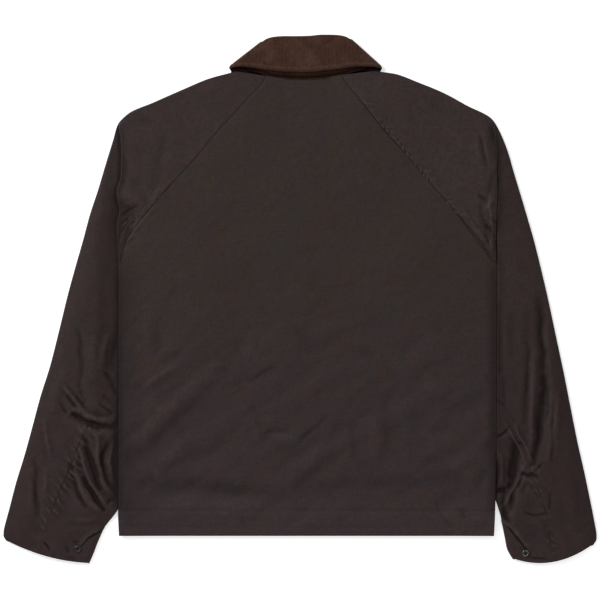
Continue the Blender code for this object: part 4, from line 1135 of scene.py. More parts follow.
@dataclass(frozen=True)
class WaxedCotton(Finish):
    """Plain-woven cotton proofed with wax: dark, mottled, with a soft sheen, paler where worn and where
    highlights are painted, darker where shade is painted.
    """

    colour: Colour = (0.0316, 0.0206, 0.0190, 1.0)
    warm: Colour = (0.0334, 0.0205, 0.0173, 1.0)
    cool: Colour = (0.0280, 0.0216, 0.0208, 1.0)
    plum: Colour = (0.0326, 0.0198, 0.0218, 1.0)
    low: Colour = (1.04, 1.04, 1.17, 1.0)
    high: Colour = (0.98, 1.02, 0.95, 1.0)
    # The next colour is paler, for wear and for painted highlights; the one after is a near-black brown,
    # for painted shade.
    worn: Colour = (0.060, 0.044, 0.040, 1.0)
    painted_shading: Colour = (0.0075, 0.0034, 0.0030, 1.0)
    roughness: tuple[float, float] = (0.42, 0.56)
    specular: float = 0.12
    threads: float = 0.9
    drift: float = 34.0

    def dress(self, graph: Graph) -> None:
        """Fills in the nodes: clouds of tint, threads, wear and painted highlights on the folds, painted
        shade in their hollows, and their relief.

        Args:
            graph: the material's nodes.
        """
        patches = graph.noise(62.0, 4.0, graph.stretched(self.drift + 40, 2.2, 3.7))
        clouds = graph.noise(46.0, 4.0, graph.stretched(self.drift, 2.6))
        bloom = graph.noise(54.0, 4.0, graph.stretched(self.drift + 15, 1.8, 9.1))
        tint = graph.blend(graph.mapped(clouds, 0.44, 0.62, (0.0, 1.0)), self.colour, self.warm)
        tint = graph.blend(graph.mapped(patches, 0.50, 0.66, (0.0, 0.85)), tint, self.cool)
        tint = graph.blend(graph.mapped(bloom, 0.50, 0.64, (0.0, 0.8)), tint, self.plum)
        # Paler where worn and where highlights are painted: crests, rolled edges, the caps' rims and
        # sheen, broken up by noise.
        worn_and_lit_share = graph.mapped(graph.noise(150.0, 3.0, graph.place), 0.35, 0.65, (0.5, 1.0))
        worn_and_lit_share = graph.maths("MULTIPLY", graph.attribute("wear"), worn_and_lit_share)
        tint = graph.blend(worn_and_lit_share, tint, self.worn)
        # Painted shade: toward a near-black brown in hollows, along rolled edges and where the body's edge
        # shades the sleeves.
        tint = graph.blend(graph.attribute("soil"), tint, self.painted_shading)
        axes = graph.node("SeparateXYZ", {0: graph.place}).outputs
        down = graph.mapped(axes["Y"], 0.05, -0.2, (0.0, 1.0))
        tint = graph.blend(1.0, tint, graph.blend(down, self.high, self.low), "MULTIPLY")
        slubs = [graph.noise(700.0, 2.0, graph.stretched(angle, 7.0)) for angle in (1.0, 91.0)]
        blots = graph.noise(300.0, 3.0, graph.place)
        grain = graph.maths("ADD", slubs[0], graph.maths("ADD", slubs[1], blots))
        tint = graph.toned(tint, graph.mapped(grain, 1.15, 1.85, (0.83, 1.17)))
        rate = 2 * math.pi / (self.threads * MM)
        waves = [graph.maths("SINE", graph.maths("MULTIPLY", axes[i], rate)) for i in (0, 1)]
        weave = graph.bump(graph.maths("MULTIPLY", waves[0], waves[1]), 0.00006)
        graph.finish({
            "Base Color": tint,
            "Roughness": graph.mapped(patches, 0.3, 0.7, self.roughness),
            "Specular IOR Level": self.specular,
            "Normal": graph.bump(graph.noise(90.0, 5.0, graph.place), 0.0009, weave),
        })


@dataclass(frozen=True)
class Corduroy(Finish):
    """Fine-wale cotton corduroy, matt, with a soft nap, its grooves darker partly in their own colour and
    partly by painted shade.
    """

    colour: Colour = (0.0490, 0.0209, 0.0131, 1.0)
    # The grooves' colour: darker partly in its own right, partly as painted shade between the wales.
    groove: Colour = (0.0275, 0.0114, 0.0078, 1.0)
    pale: Colour = (0.066, 0.0315, 0.0205, 1.0)
    # A near-black brown for painted shade.
    painted_shading: Colour = (0.006, 0.0028, 0.0020, 1.0)
    pitch: float = 1.9
    specular: float = 0.15
    sheen: float = 0.12

    def dress(self, graph: Graph) -> None:
        """Fills in the nodes: raised wales along the cloth, from its own coordinates.

        Args:
            graph: the material's nodes.
        """
        wobble = graph.mapped(graph.noise(60.0, 3.0, graph.place), 0.0, 1.0, (-3.0, 3.0))
        phase = graph.maths("MULTIPLY", graph.attribute("wale"), 2 * math.pi / self.pitch)
        wave = graph.maths("SINE", graph.maths("ADD", phase, wobble))
        height = graph.mapped(wave, -1.0, 0.4, (0.0, 1.0))
        drawn = graph.node("Mapping", {"Scale": (1.0, 0.3, 1.0), "Vector": graph.place})
        nap = graph.noise(620.0, 3.0, drawn.outputs["Vector"])
        clouds = graph.mapped(graph.noise(48.0, 4.0, graph.place), 0.42, 0.66, (0.0, 0.8))
        # Darker in the grooves between the wales: partly their own colour, partly painted shade.
        tint = graph.blend(height, self.groove, self.colour)
        tint = graph.blend(clouds, tint, self.pale)
        # Paler along the stitched edge and as painted highlight on the leaf's steep sides; then painted
        # shade on the stand, at the leaf's lower edge, under its ends and on the turned-under front.
        tint = graph.blend(graph.attribute("wear"), tint, self.pale)
        tint = graph.blend(graph.attribute("soil"), tint, self.painted_shading)
        graph.finish({
            "Base Color": graph.toned(tint, graph.mapped(nap, 0.3, 0.7, (0.68, 1.32))),
            "Roughness": 0.85,
            "Specular IOR Level": self.specular,
            "Sheen Weight": self.sheen,
            "Sheen Roughness": 0.5,
            "Sheen Tint": (0.9, 0.55, 0.4, 1.0),
            "Normal": graph.bump(nap, 0.00012, graph.bump(height, 0.0003)),
        })


@dataclass(frozen=True)
class Plain(Finish):
    """A surface of one colour, which may give off a little light of its own."""

    colour: Colour = (0.2, 0.2, 0.2, 1.0)
    roughness: float = 0.5
    metallic: float = 0.0
    glow: float = 0.0

    def dress(self, graph: Graph) -> None:
        """Sets the surface's values.

        Args:
            graph: the material's nodes.
        """
        graph.finish({
            "Base Color": self.colour, "Roughness": self.roughness, "Metallic": self.metallic,
            "Emission Color": (1.0, 1.0, 1.0, 1.0), "Emission Strength": self.glow,
        })


WAX = WaxedCotton("waxed_cotton_body")
SLEEVE_WAX = WaxedCotton(
    "waxed_cotton_sleeves", (0.0280, 0.0170, 0.0166, 1.0), (0.0296, 0.0168, 0.0152, 1.0),
    (0.0258, 0.0176, 0.0176, 1.0), (0.0290, 0.0162, 0.0184, 1.0), low=(1.0, 1.0, 1.0, 1.0),
    high=(1.0, 1.02, 0.99, 1.0), drift=98.0,
)
# A lighter copy of the cloth for the eased crests: painted highlight.
LIT_CREST_WAX = WaxedCotton(
    "waxed_cotton_crests", (0.040, 0.0275, 0.0262, 1.0), (0.042, 0.028, 0.0248, 1.0),
    (0.038, 0.028, 0.0270, 1.0), (0.040, 0.027, 0.0270, 1.0),
)
# A darker copy of the cloth for thin patches beside the crests: painted shade standing in for the hollows
# between them.
SHADE_PATCH_WAX = WaxedCotton(
    "waxed_cotton_hollows", (0.0165, 0.0088, 0.0080, 1.0), (0.0170, 0.0088, 0.0076, 1.0),
    (0.0160, 0.0090, 0.0083, 1.0), (0.0165, 0.0088, 0.0084, 1.0),
)
CORD = Corduroy("corduroy_cloth")
STAND_CORD = Corduroy("corduroy_stand", specular=0.02, sheen=0.0)
STUD = Plain("stud_metal_aged", (0.115, 0.108, 0.108, 1.0), 0.27, 1.0)
# A darker copy of the stud metal for the left stud: painted shade.
STUD_SHADED = Plain("stud_metal_dull", (0.058, 0.058, 0.062, 1.0), 0.38, 1.0)
# A near-black for the disc in each stud's hollow: painted shade.
STUD_HOLLOW_SHADE = Plain("stud_hollow", (0.004, 0.003, 0.003, 1.0), 0.9)
THREAD = Plain("thread_brown", (0.050, 0.036, 0.031, 1.0), 0.7)
CORD_THREAD = Plain("thread_collar", (0.11, 0.062, 0.042, 1.0), 0.8)
# The floor's own light keeps the shadows on it faint
FLOOR = Plain("pale_floor", (0.93, 0.93, 0.93, 1.0), 0.9, glow=0.45)


def in_scene(name: str, data: bpy.types.ID) -> bpy.types.Object:
    """A new object at the origin, put into the scene.

    Args:
        name: the object's name.
        data: what it shows.

    Returns:
        The object.
    """
    obj = bpy.data.objects.new(name, data)
    bpy.context.scene.collection.objects.link(obj)
    return obj


def add_mesh(
    name: str, points: Array, faces: Table, finish: Finish,
    values: dict[str, Array] | None = None, sharp: float = 60.0,
) -> bpy.types.Object:
    """A mesh object from points in the garment's frame, which rides on the root.

    Args:
        name: the object's name.
        points: its points in millimetres.
        faces: their numbers, a row for each face, all with three or all with four corners.
        finish: what it is dressed in.
        values: named numbers for each point, for the finish to read.
        sharp: the angle in degrees past which an edge isn't smoothed.

    Returns:
        The object, at the origin with its place in its mesh.
    """
    used, numbers = np.unique(faces, return_inverse=True)
    numbers = numbers.reshape(faces.shape)
    placed = ((points[used] + SHIFT) * MM).astype(np.float32)
    mesh = bpy.data.meshes.new(name)
    mesh.vertices.add(len(placed))
    mesh.vertices.foreach_set("co", placed.ravel())
    mesh.loops.add(numbers.size)
    mesh.loops.foreach_set("vertex_index", numbers.ravel().astype(np.int32))
    mesh.polygons.add(len(numbers))
    width = numbers.shape[1]
    mesh.polygons.foreach_set("loop_start", np.arange(0, numbers.size, width, dtype=np.int32))
    mesh.update(calc_edges=True)
    for key, value in (values or {}).items():
        layer = mesh.attributes.new(key, "FLOAT", "POINT")
        layer.data.foreach_set("value", value[used].astype(np.float32))
    mesh.validate()
    mesh.shade_smooth()
    mesh.set_sharp_from_angle(angle=math.radians(sharp))
    mesh.materials.append(finish.make())
    obj = in_scene(name, mesh)
    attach(obj, "root")
    LOG.info("%s: %d points, %d faces", name, len(placed), len(numbers))
    return obj


@dataclass
class Cloth:
    """A stretch of cloth as a closed wall: its face, its back and a rim round every edge."""

    name: str
    node: str
    flat: tuple[float, float]
    area: float
    held: str
    rests_on: tuple[str, ...]
    finish: Finish
    slot: Slot = Slot.WAX
    thickness: float = 1.5
    flip: bool = False

    def build(
        self, face: Array, normals: Array, quads: Table, values: dict[str, Array],
    ) -> None:
        """Args:
            face: the points of the cloth's face.
            normals: the way each faces.
            quads: the face's quads, by point number.
            values: named numbers for each point of the face.
        """
        back = face - normals * self.thickness
        count = len(face)
        quads = quads[:, ::-1] if self.flip else quads
        ends = np.concatenate([quads[:, [i, (i + 1) % 4]] for i in range(4)])
        first, second = ends[~np.isin(ends[:, 1] * count + ends[:, 0], ends[:, 0] * count + ends[:, 1])].T
        rim = np.stack([second, first, first + count, second + count], axis=1)
        faces = np.concatenate([quads, quads[:, ::-1] + count, rim])
        doubled = {key: np.concatenate([value, value]) for key, value in values.items()}
        points = np.concatenate([face, back])
        obj = add_mesh(self.name, points, faces, self.finish, doubled)
        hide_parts(self.node)


def wear_and_shade_of(height: Height, x: Array, y: Array, broad: float = 0.0) -> tuple[Array, Array]:
    """How worn and lit the cloth is painted on its crests, and how shaded in its hollows: from how sharply
    its relief bends.

    Args:
        height: the relief.
        x: distances from the centre back.
        y: heights above the hem.
        broad: how much the widest folds count.

    Returns:
        Wear and painted highlight on crests, and painted shade in hollows, each from 0 to 1.
    """
    here = height(x, y)
    bend = np.zeros(len(x))
    for step, share in ((3.0, 0.8), (8.0, 0.28), (16.0, broad)):
        around = sum(
            height(x + dx, y + dy) for dx, dy in ((step, 0), (-step, 0), (0, step), (0, -step))
        )
        bend = bend + share * (here - around / 4)
    # Crests paled for wear and painted highlight, hollows given painted shade.
    return np.clip(bend * 0.6, 0, 0.5), np.clip(-bend * 1.0, 0, 0.9)


@dataclass(frozen=True)
class EdgeTone:
    """How pale (wear and painted highlight) and how dark (painted shade) one side's cloth is near the
    cap's folded edge, lengths in millimetres.
    """

    wear_and_highlight_scale: float
    cap_sheen: float
    fold_shade: float
    fold_reach: float
    corner_shade: float
    corner_top: float
    corner_fade: float
    corner_reach: float


# Per side: the scale of wear and painted highlight, the cap's painted sheen, and the painted shade along
# the cap's fold and in its low corner.
EDGE_TONES = {
    Side.LEFT: EdgeTone(1.15, 0.10, 0.5, 12, 0.32, 494, 478, 14),
    Side.RIGHT: EdgeTone(1.0, 0.26, 0.7, 9, 0.26, 474, 450, 12),
}
MOST_SHADE = 0.95


@dataclass
class Sleeve:
    """A raglan sleeve: the top sleeve and the strip set in along the inside of the arm."""

    side: Side
    seam_gap: float = 0.014
    raglan_rows: int = 104
    right_roll: float = 0.5
    tube_rows: int = 260
    cap_columns: int = 66
    underlap_columns: int = 9
    inner_columns: int = 86
    outer_columns: int = 60
    floor_columns: tuple[int, int] = (12, 11)
    # The strength of the painted shadow that the body's edge casts on the left sleeve, then painted
    # highlights: the least in the strip beside the body's right edge, on the rolled edges, and brighter on
    # the cap's folded rim.
    shadow: float = 0.8
    gap_highlight: float = 0.15
    edge_highlight: float = 0.3
    rim_highlight: float = 0.8
    fold_degrees: tuple[float, ...] = (90, 72, 54, 36, 18, 0, -18, -36, -54, -72, -90)
    crease_degrees: tuple[float, ...] = (90, 30, -30)

    def _lower(
        self, start: Array, outer: Array, end: Array, bow: Array, seam: Array, close: bool,
    ) -> Band:
        """The lower sleeve: over the top, round the outer edge and back along the floor.

        Args:
            start: where the upper side starts, inside, for each row.
            outer: the outer edge.
            end: where the floor side ends.
            bow: how far the row's middle sags.
            seam: the back-arm seam's share of the width.
            close: whether the tube closes at its inner edge.

        Returns:
            The lower sleeve as a band.
        """
        width = np.linalg.norm(outer - start, axis=1)
        out = (outer - start) / width[:, None]
        stretch = skew(out, outer)

        def height(x: Array, y: Array) -> Array:
            """The lower sleeve's top at these places of these rows.

            Args:
                x: distances from the centre back.
                y: heights above the hem.

            Returns:
                The height above the floor at each place.
            """
            shape = (-1,) + (1,) * (np.ndim(x) - 1)
            near, way = outer.T, out.T
            off = (near[0].reshape(shape) - x) * way[0].reshape(shape)
            off = off + (near[1].reshape(shape) - y) * way[1].reshape(shape)
            off = off / stretch.reshape(shape)
            wide = (width / stretch).reshape(shape)
            return LAY.sleeve(self.side, x, y, off, wide - off + 4)

        edge_z = height(*outer.T)
        turn = outer - out * (stretch * edge_z / 2)[:, None]
        gap = (self.seam_gap / width)[:, None]
        seam = seam[:, None]
        inner = seam * np.linspace(0, 1, self.inner_columns)
        after = seam + (1 - seam) * np.linspace(0, 1, self.outer_columns)
        share = np.concatenate([inner[:, :-1], seam - gap, seam + gap, after[:, 1:-1]], axis=1)
        upper = Band.level(sagged(start, turn, share, bow), height, True)
        radius = (edge_z - LAY.floor(*turn.T)) / 2
        edge = Band.turn(turn, out, radius * stretch, edge_z - radius, radius, self.fold_degrees)
        far = 1 - seam
        first = far * np.linspace(0, 1, self.floor_columns[0])
        second = far + (1 - far) * np.linspace(0, 1, self.floor_columns[1])
        share = np.concatenate([first[:, 1:-1], far - gap, far + gap, second[:, 1:]], axis=1)
        lower = Band.level(sagged(turn, end, share, bow), LAY.floor, False)
        bands = [upper, edge, lower]
        if close:
            high = upper.points[:, 0, 2]
            radius = (high - lower.points[:, -1, 2]) / 2
            degrees = -np.array(self.fold_degrees[1:-1])
            bands.append(Band.turn(start, -out, radius, high - radius, radius, degrees))
        return Band.join(bands)

    def _raglan(self, rows: dict[str, Array]) -> tuple[Band, Band]:
        """Above the armhole: the cap with its fold, underlap and crease, and the lower sleeve.

        Args:
            rows: the raglan part's sections.

        Returns:
            The cap and the lower sleeve.
        """
        seam, outer = pair(rows, "seam"), pair(rows, "outer")
        out = unit(outer - seam)
        fold = outer - out * rows["inset"][:, None]
        crease = fold - out * rows["tuck"][:, None]
        fold = fold + out * edge_wave(self.side, fold[:, 1])[:, None]
        under_z = LAY.under(*fold.T)
        radius = (cloth_top(*fold.T) - under_z) / 2
        reach = radius * skew(out, fold) * (1.0 if self.side is Side.LEFT else self.right_roll)
        turn = fold - out * reach[:, None]
        share = graded(self.cap_columns)[:-1]
        cap = Band.level(sagged(seam + out * self.seam_gap, turn, share), cloth_top, True)
        bend = Band.turn(turn, out, reach, under_z + radius, radius, self.fold_degrees)
        share = np.linspace(0, 1, self.underlap_columns)[1:-1]
        underlap = Band.level(sagged(turn, crease, share), LAY.under, False)
        seam_share = np.full(len(seam), TUBE[self.side][0][-1])
        level = np.zeros(len(seam))
        lower = self._lower(crease, outer, pair(rows, "front"), level, seam_share, False)
        high = LAY.under(*crease.T)
        radius = (high - lower.points[:, 0, 2]) / 2
        inner = Band.turn(
            crease, -out, radius, high - radius, radius, self.crease_degrees, hollow=True,
        )
        return Band.join([cap, bend, underlap, inner]), lower

    def _tube(self, rows: dict[str, Array]) -> Band:
        """Below the armhole: all round the sleeve.

        Args:
            rows: the tube's sections.

        Returns:
            The tube as a band.
        """
        outer, inner = pair(rows, "outer"), pair(rows, "inner")
        start = inner + unit(outer - inner) * LAY.rest_sleeve / 2
        return self._lower(start, outer, start, rows["bow"], rows["seam"], True)

    def build(self) -> None:
        """Makes both pieces."""
        bands = (
            *self._raglan(finer(RAGLAN[self.side], RAGLAN_COLUMNS, self.raglan_rows)),
            self._tube(finer(TUBE[self.side], TUBE_COLUMNS, self.tube_rows)),
        )
        points, normals, (cap, rest, ring) = Band.stack(bands)
        ring[0, : rest.shape[1]] = rest[-1]
        upper = self.inner_columns
        lower = upper + self.outer_columns + len(self.fold_degrees) + self.floor_columns[0] - 3
        whole = np.concatenate([cap, rest], axis=1)
        quads = np.concatenate([quads_of(whole), quads_of(ring[:, upper : lower + 1])])
        values = self._values(points, normals)
        name, flip = self.side.value, self.side is Side.RIGHT
        top = Cloth(f"top_sleeve_{name}", f"sleeve_{name}", (0.46, 0.74), 0.200, "folded",
                    ("floor",), SLEEVE_WAX, flip=flip)
        top.build(points, normals, quads, values)
        around = np.concatenate([ring[:, lower + 1 :], ring[:, :upper]], axis=1)
        first = points[around[0]]
        step = unit(points[around[1]] - first)
        fresh = len(points) + np.arange(len(first))
        points = np.concatenate([points, first + step * 2 * self.seam_gap])
        normals = np.concatenate([normals, normals[around[0]]])
        values = {key: np.concatenate([v, v[around[0]]]) for key, v in values.items()}
        quads = quads_of(np.concatenate([fresh[None, :], around[1:]]))
        under = Cloth(f"under_sleeve_{name}", f"undersleeve_{name}", (0.17, 0.44), 0.068, "folded",
                      ("floor",), SLEEVE_WAX, flip=flip)
        under.build(points, normals, quads, values)

    def _values(self, points: Array, normals: Array) -> dict[str, Array]:
        """Wear with painted highlights, and painted shade, on the faces that look up, with painted
        highlights at the folded edges.

        Args:
            points: the sleeve's points.
            normals: the way each faces.

        Returns:
            Named numbers for each point.
        """
        wear, soil = np.zeros(len(points)), np.zeros(len(points))
        up = normals[:, 2] > 0.5
        x, y, z = points[up].T
        outside = self.side.sign * x - side_edge(self.side, y)
        on_cap = (y > LAY.armhole) & (z > LAY.under(x, y) + 0.5) & (outside < 1)
        worn, painted_shading = self._sleeve_tone(x, y, outside)
        cap_worn_and_lit, cap_painted_shading = self._cap_tone(x, y, -outside)
        wear[up] = np.where(on_cap, cap_worn_and_lit, worn)
        soil[up] = np.where(on_cap, cap_painted_shading, painted_shading)
        # Painted highlights on the rolled edges, brighter along the cap's folded rim.
        edge = (normals[:, 2] > 0.15) & (normals[:, 2] < 0.9)
        wear[edge] = self.edge_highlight
        x, y, z = points.T
        wear[edge & (y > 430) & (y < 600) & (z > LAY.under(x, y) + 1.0)] = self.rim_highlight
        return {"wear": wear, "soil": soil}

    def _cap_tone(self, x: Array, y: Array, inside: Array) -> tuple[Array, Array]:
        """The cap's wear with a painted sheen, and its painted shade, the shade more along its folded edge
        and in its low corner.

        Args:
            x: distances from the centre back.
            y: heights above the hem.
            inside: distances inside the folded edge.

        Returns:
            Wear with painted sheen, and painted shade.
        """
        tone = EDGE_TONES[self.side]
        worn, painted_shading = wear_and_shade_of(BACK_RELIEF, x, y, 0.12)
        # Painted shade where the cap's folded edge rolls under, and in its low corner.
        rolled = tone.fold_shade * ramp(inside, tone.fold_reach, 0)
        rolled = rolled * ramp(y, 604, 584) * (0.4 + 0.6 * ramp(y, 478, 502))
        corner = tone.corner_shade * ramp(y, tone.corner_top, tone.corner_fade)
        corner = corner * ramp(inside, 28, tone.corner_reach)
        # A painted sheen on the cap, added to its wear.
        return worn + tone.cap_sheen, np.clip(painted_shading + (rolled + corner), 0, MOST_SHADE)

    def _sleeve_tone(self, x: Array, y: Array, outside: Array) -> tuple[Array, Array]:
        """The lower sleeve's wear with painted highlights, and its painted shade, the shade more where the
        body shades it.

        Args:
            x: distances from the centre back.
            y: heights above the hem.
            outside: distances outside the body's edge.

        Returns:
            Wear with painted highlights, and painted shade.
        """
        worn, painted_shading = wear_and_shade_of(SLEEVE_RELIEF[self.side], x, y)
        painted_shading = np.clip(1.3 * painted_shading, 0, MOST_SHADE)
        high = ramp(y, 436, 456)
        if self.side is Side.LEFT:
            strength = self.shadow * ramp(y, 30, 60) * (1 + 0.7 * ramp(y, 176, 146))
            strength = strength + high * (0.3 + 0.5 * ramp(y, 500, 520)) * ramp(y, 602, 588)
        else:
            worn = worn + 0.16 * ramp(y, 300, 360) + 0.1 * ramp(y, 30, -10)
            strength = 0.30 + 0.4 * ramp(y, 124, 104) * ramp(y, 52, 72)
            strength = strength + 0.35 * high * ramp(y, 600, 570)
        worn = worn * EDGE_TONES[self.side].wear_and_highlight_scale
        # A painted highlight in the narrow strip beside the body's right edge, lightening its shadow.
        if self.side is Side.RIGHT:
            worn = np.where(np.abs(outside) < 1.0, np.maximum(worn, self.gap_highlight), worn)
        # Painted shadow cast by the body's edge onto the sleeve.
        reach = 9.5 - 4.5 * ramp(y, 490, 510)
        shadow = bell(np.clip(outside, 0, None), reach) * (outside > -3) * strength
        return worn, np.clip(painted_shading + shadow, 0, MOST_SHADE)


@dataclass
class Back:
    """The back panel from the hem to the neck seam."""

    seam_gap: float = 0.03
    low_rows: int = 111
    raglan_rows: int = 88
    columns: int = 178
    side_reach: float = 3.0
    right_reach: float = 1.3
    side_degrees: tuple[float, ...] = (4.5, 16, 30, 45, 60, 75)
    jog: float = 1.0
    neck_bow: float = 5.2
    neck_height: float = 667.0

    def build(self) -> None:
        """Makes the panel: rolled side edges below the armhole, straight seams above it."""
        y = np.concatenate([
            np.linspace(0, 14, 7)[:-1], np.linspace(14, 42, 12)[:-1],
            np.linspace(42, LAY.armhole - self.jog, self.low_rows),
        ])
        left, right = (np.column_stack([side.sign * side_edge(side, y), y]) for side in Side)
        low = self._rolled(left, right)
        rows = (finer(RAGLAN[side], RAGLAN_COLUMNS, self.raglan_rows) for side in Side)
        left, right = (pair(row, "seam")[::-1] for row in rows)
        up = (left[:, 1] - LAY.armhole) / (self.neck_height - LAY.armhole)
        bow = self.neck_bow * smooth((up - 0.7) / 0.3)
        high = self._sewn(left + (self.seam_gap, 0), right - (self.seam_gap, 0), bow)
        points = np.concatenate([low.points, high.points])
        normals = np.concatenate([low.normals, high.normals])
        points, normals, (ids,) = Band.stack((Band(points, normals),))
        cloth = Cloth("back_panel", "back", (0.552, 0.668), 0.313, "laid",
                      ("front_panel_left", "front_panel_right"), WAX)
        cloth.build(points, normals, quads_of(ids), self._values(points, normals))

    @staticmethod
    def _values(points: Array, normals: Array) -> dict[str, Array]:
        """Wear with painted highlights, and painted shade: painted shade toward both sides, paler on the
        hem, and a painted highlight on the right rolled edge.

        Args:
            points: the panel's points.
            normals: the way each faces.

        Returns:
            Named numbers for each point.
        """
        x, y = points[:, 0], points[:, 1]
        wear, soil = wear_and_shade_of(BACK_RELIEF, x, y, 0.22)
        below = smooth((LAY.armhole + 30 - y) / 60) * ramp(y, 20, 50)
        # Painted shade toward both rolled side edges.
        right = 0.62 * ramp(x, 257, 273) * below
        left = (0.30 * ramp(-x, 228, 268) + 0.36 * ramp(-x, 262, 272)) * below
        soil = np.clip(soil + right + left, 0, MOST_SHADE)
        wear = wear + 0.13 * ramp(y, 58, 44) * ramp(x, -240, -180)
        # Painted highlight on the rolled edges, bright on the right, where the painted shade is also taken
        # off.
        edge = (normals[:, 2] > 0.5) & (normals[:, 2] < 0.97)
        wear = np.where(edge, np.where(x > 0, 0.8, 0.1), wear)
        return {"wear": wear, "soil": np.where(edge & (x > 0) & (y > 124), 0.0, soil)}

    def _rolled(self, left: Array, right: Array) -> Band:
        """Rows below the armhole, with their side edges rolled down to the fronts.

        Args:
            left: the left edge, from the hem up.
            right: the right edge.

        Returns:
            The rows as a band.
        """
        start, end = left + (self.side_reach, 0), right - (self.right_reach, 0)
        bends = []
        for point, way, out_by in ((start, -1.0, self.side_reach), (end, 1.0, self.right_reach)):
            top = cloth_top(*point.T)
            radius = (top - LAY.front(*point.T)) / 2
            out = np.tile([way, 0.0], (len(point), 1))
            reach = np.full(len(point), out_by)
            bends.append(Band.turn(point, out, reach, top - radius, radius, self.side_degrees))
        flat = Band.level(sagged(start, end, graded(self.columns, 0.6)), cloth_top, True)
        last = Band(bends[1].points[:, ::-1], bends[1].normals[:, ::-1])
        return Band.join([bends[0], flat, last])

    def _sewn(self, left: Array, right: Array, bow: Array) -> Band:
        """Rows between the raglan seams.

        Args:
            left: the left seam, from the armhole up.
            right: the right seam.
            bow: how far the middle of each row is let down.

        Returns:
            The rows as a band.
        """
        start, end = left + (self.side_reach, 0), right - (self.right_reach, 0)
        edge = np.linspace(0, 1, len(self.side_degrees) + 1)[:-1]
        plan = np.concatenate([
            sagged(left, start, edge), sagged(start, end, graded(self.columns, 0.6)),
            sagged(right, end, edge)[:, ::-1],
        ], axis=1)
        across = (plan[..., 0] - left[:, :1]) / (right[:, :1] - left[:, :1])
        plan[..., 1] -= bow[:, None] * 4 * across * (1 - across)
        return Band.level(plan, cloth_top, True)


@dataclass
class Front:
    """A front panel, from the side edge or the raglan seam to past the centre front."""

    side: Side
    seam_gap: float = 0.03
    side_reach: float = 3.0
    side_degrees: tuple[float, ...] = (-4.5, -16, -30, -45, -60, -75)
    low_rows: int = 70
    raglan_rows: int = 60
    ramp_columns: int = 25
    side_columns: int = 10
    middle_columns: int = 16
    centre: tuple[float, ...] = (48.0, 42.0, 36.0, 30.0, 24.0, 8.0, -20.0)
    level: float = 4.0
    neck_bow: float = 19.0

    def build(self) -> None:
        """Makes the panel."""
        sign, name = self.side.sign, self.side.value
        height = LAY.front if self.side is Side.LEFT else LAY.right_front
        y = np.linspace(0, LAY.armhole - 1.0, self.low_rows)
        edge = side_edge(self.side, y)
        guide = np.minimum(np.interp(np.maximum(y, 60.0), *inner_line(self.side)), edge - 4.0)
        start = edge - self.side_reach
        low_z = height(sign * start, y)
        radius = (cloth_top(sign * start, y) - low_z) / 2
        out = np.tile([sign, 0.0], (len(y), 1))
        bend = Band.turn(np.column_stack([sign * start, y]), out, np.full(len(y), self.side_reach),
                         low_z + radius, radius, self.side_degrees)
        ramp = guide[:, None] + np.linspace(-12, -60, self.ramp_columns)
        share = np.linspace(0, 1, self.side_columns)[:-1]
        side = start[:, None] + (ramp[:, :1] - start[:, None]) * share
        share = np.linspace(0, 1, self.middle_columns)[1:-1]
        across = ramp[:, -1:] + (self.centre[0] - ramp[:, -1:]) * share
        centre = np.tile(self.centre, (len(y), 1))
        xs = sign * np.concatenate([side, ramp, across, centre], axis=1)
        plan = np.stack([xs, np.broadcast_to(y[:, None], xs.shape)], axis=-1)
        low = Band.join([bend, Band.level(plan, height, False)])
        high = self._upper(height, ramp.shape[1] + across.shape[1] + centre.shape[1])
        points, normals, (low_ids, high_ids) = Band.stack((low, high))
        above = np.concatenate([low_ids[-1:, -high_ids.shape[1] :], high_ids])
        quads = np.concatenate([quads_of(low_ids), quads_of(above)])
        cloth = Cloth(f"front_panel_{name}", f"front_{name}", (0.30, 0.64), 0.139, "laid",
                      ("floor",), WAX, flip=self.side is Side.LEFT)
        none = np.zeros(len(points))
        cloth.build(points, normals, quads, {"wear": none, "soil": none})

    def _upper(self, height: Height, count: int) -> Band:
        """Rows above the armhole, from the raglan seam to past the centre.

        Args:
            height: the underside's height.
            count: how many places a row has.

        Returns:
            The rows as a band.
        """
        sign, overlap = self.side.sign, LAY.overlap
        rows = finer(RAGLAN[self.side], RAGLAN_COLUMNS, self.raglan_rows)
        edge = np.column_stack([rows["front_x"] - sign * 2 * self.seam_gap, rows["front_y"]])
        edge = edge[:-1][::-1]
        up = (edge[:, 1] - LAY.armhole) / (rows["front_y"][0] - LAY.armhole)
        centre = np.column_stack([
            np.full(len(edge), -sign * overlap), LAY.armhole + (LAY.neck_front - LAY.armhole) * up,
        ])
        reach = (np.abs(edge[:, 0]) + overlap)[:, None]
        near = (np.abs(edge[:, :1]) - np.array(self.centre)) / reach
        first = near[:, :1] * np.linspace(0, 1, count - near.shape[1] + 1)[:-1]
        share = np.concatenate([first, near], axis=1)
        plan = sagged(edge, centre, share)
        flat = 2 * overlap + self.level
        tilt = np.clip(((1 - share) * reach - flat) / (reach - flat), 0, 1)
        plan[..., 1] = centre[:, 1:] + (edge[:, 1:] - centre[:, 1:]) * tilt
        plan[..., 1] -= self.neck_bow * up[:, None] ** 3 * 4 * share * (1 - share)
        return Band.level(plan, height, False)


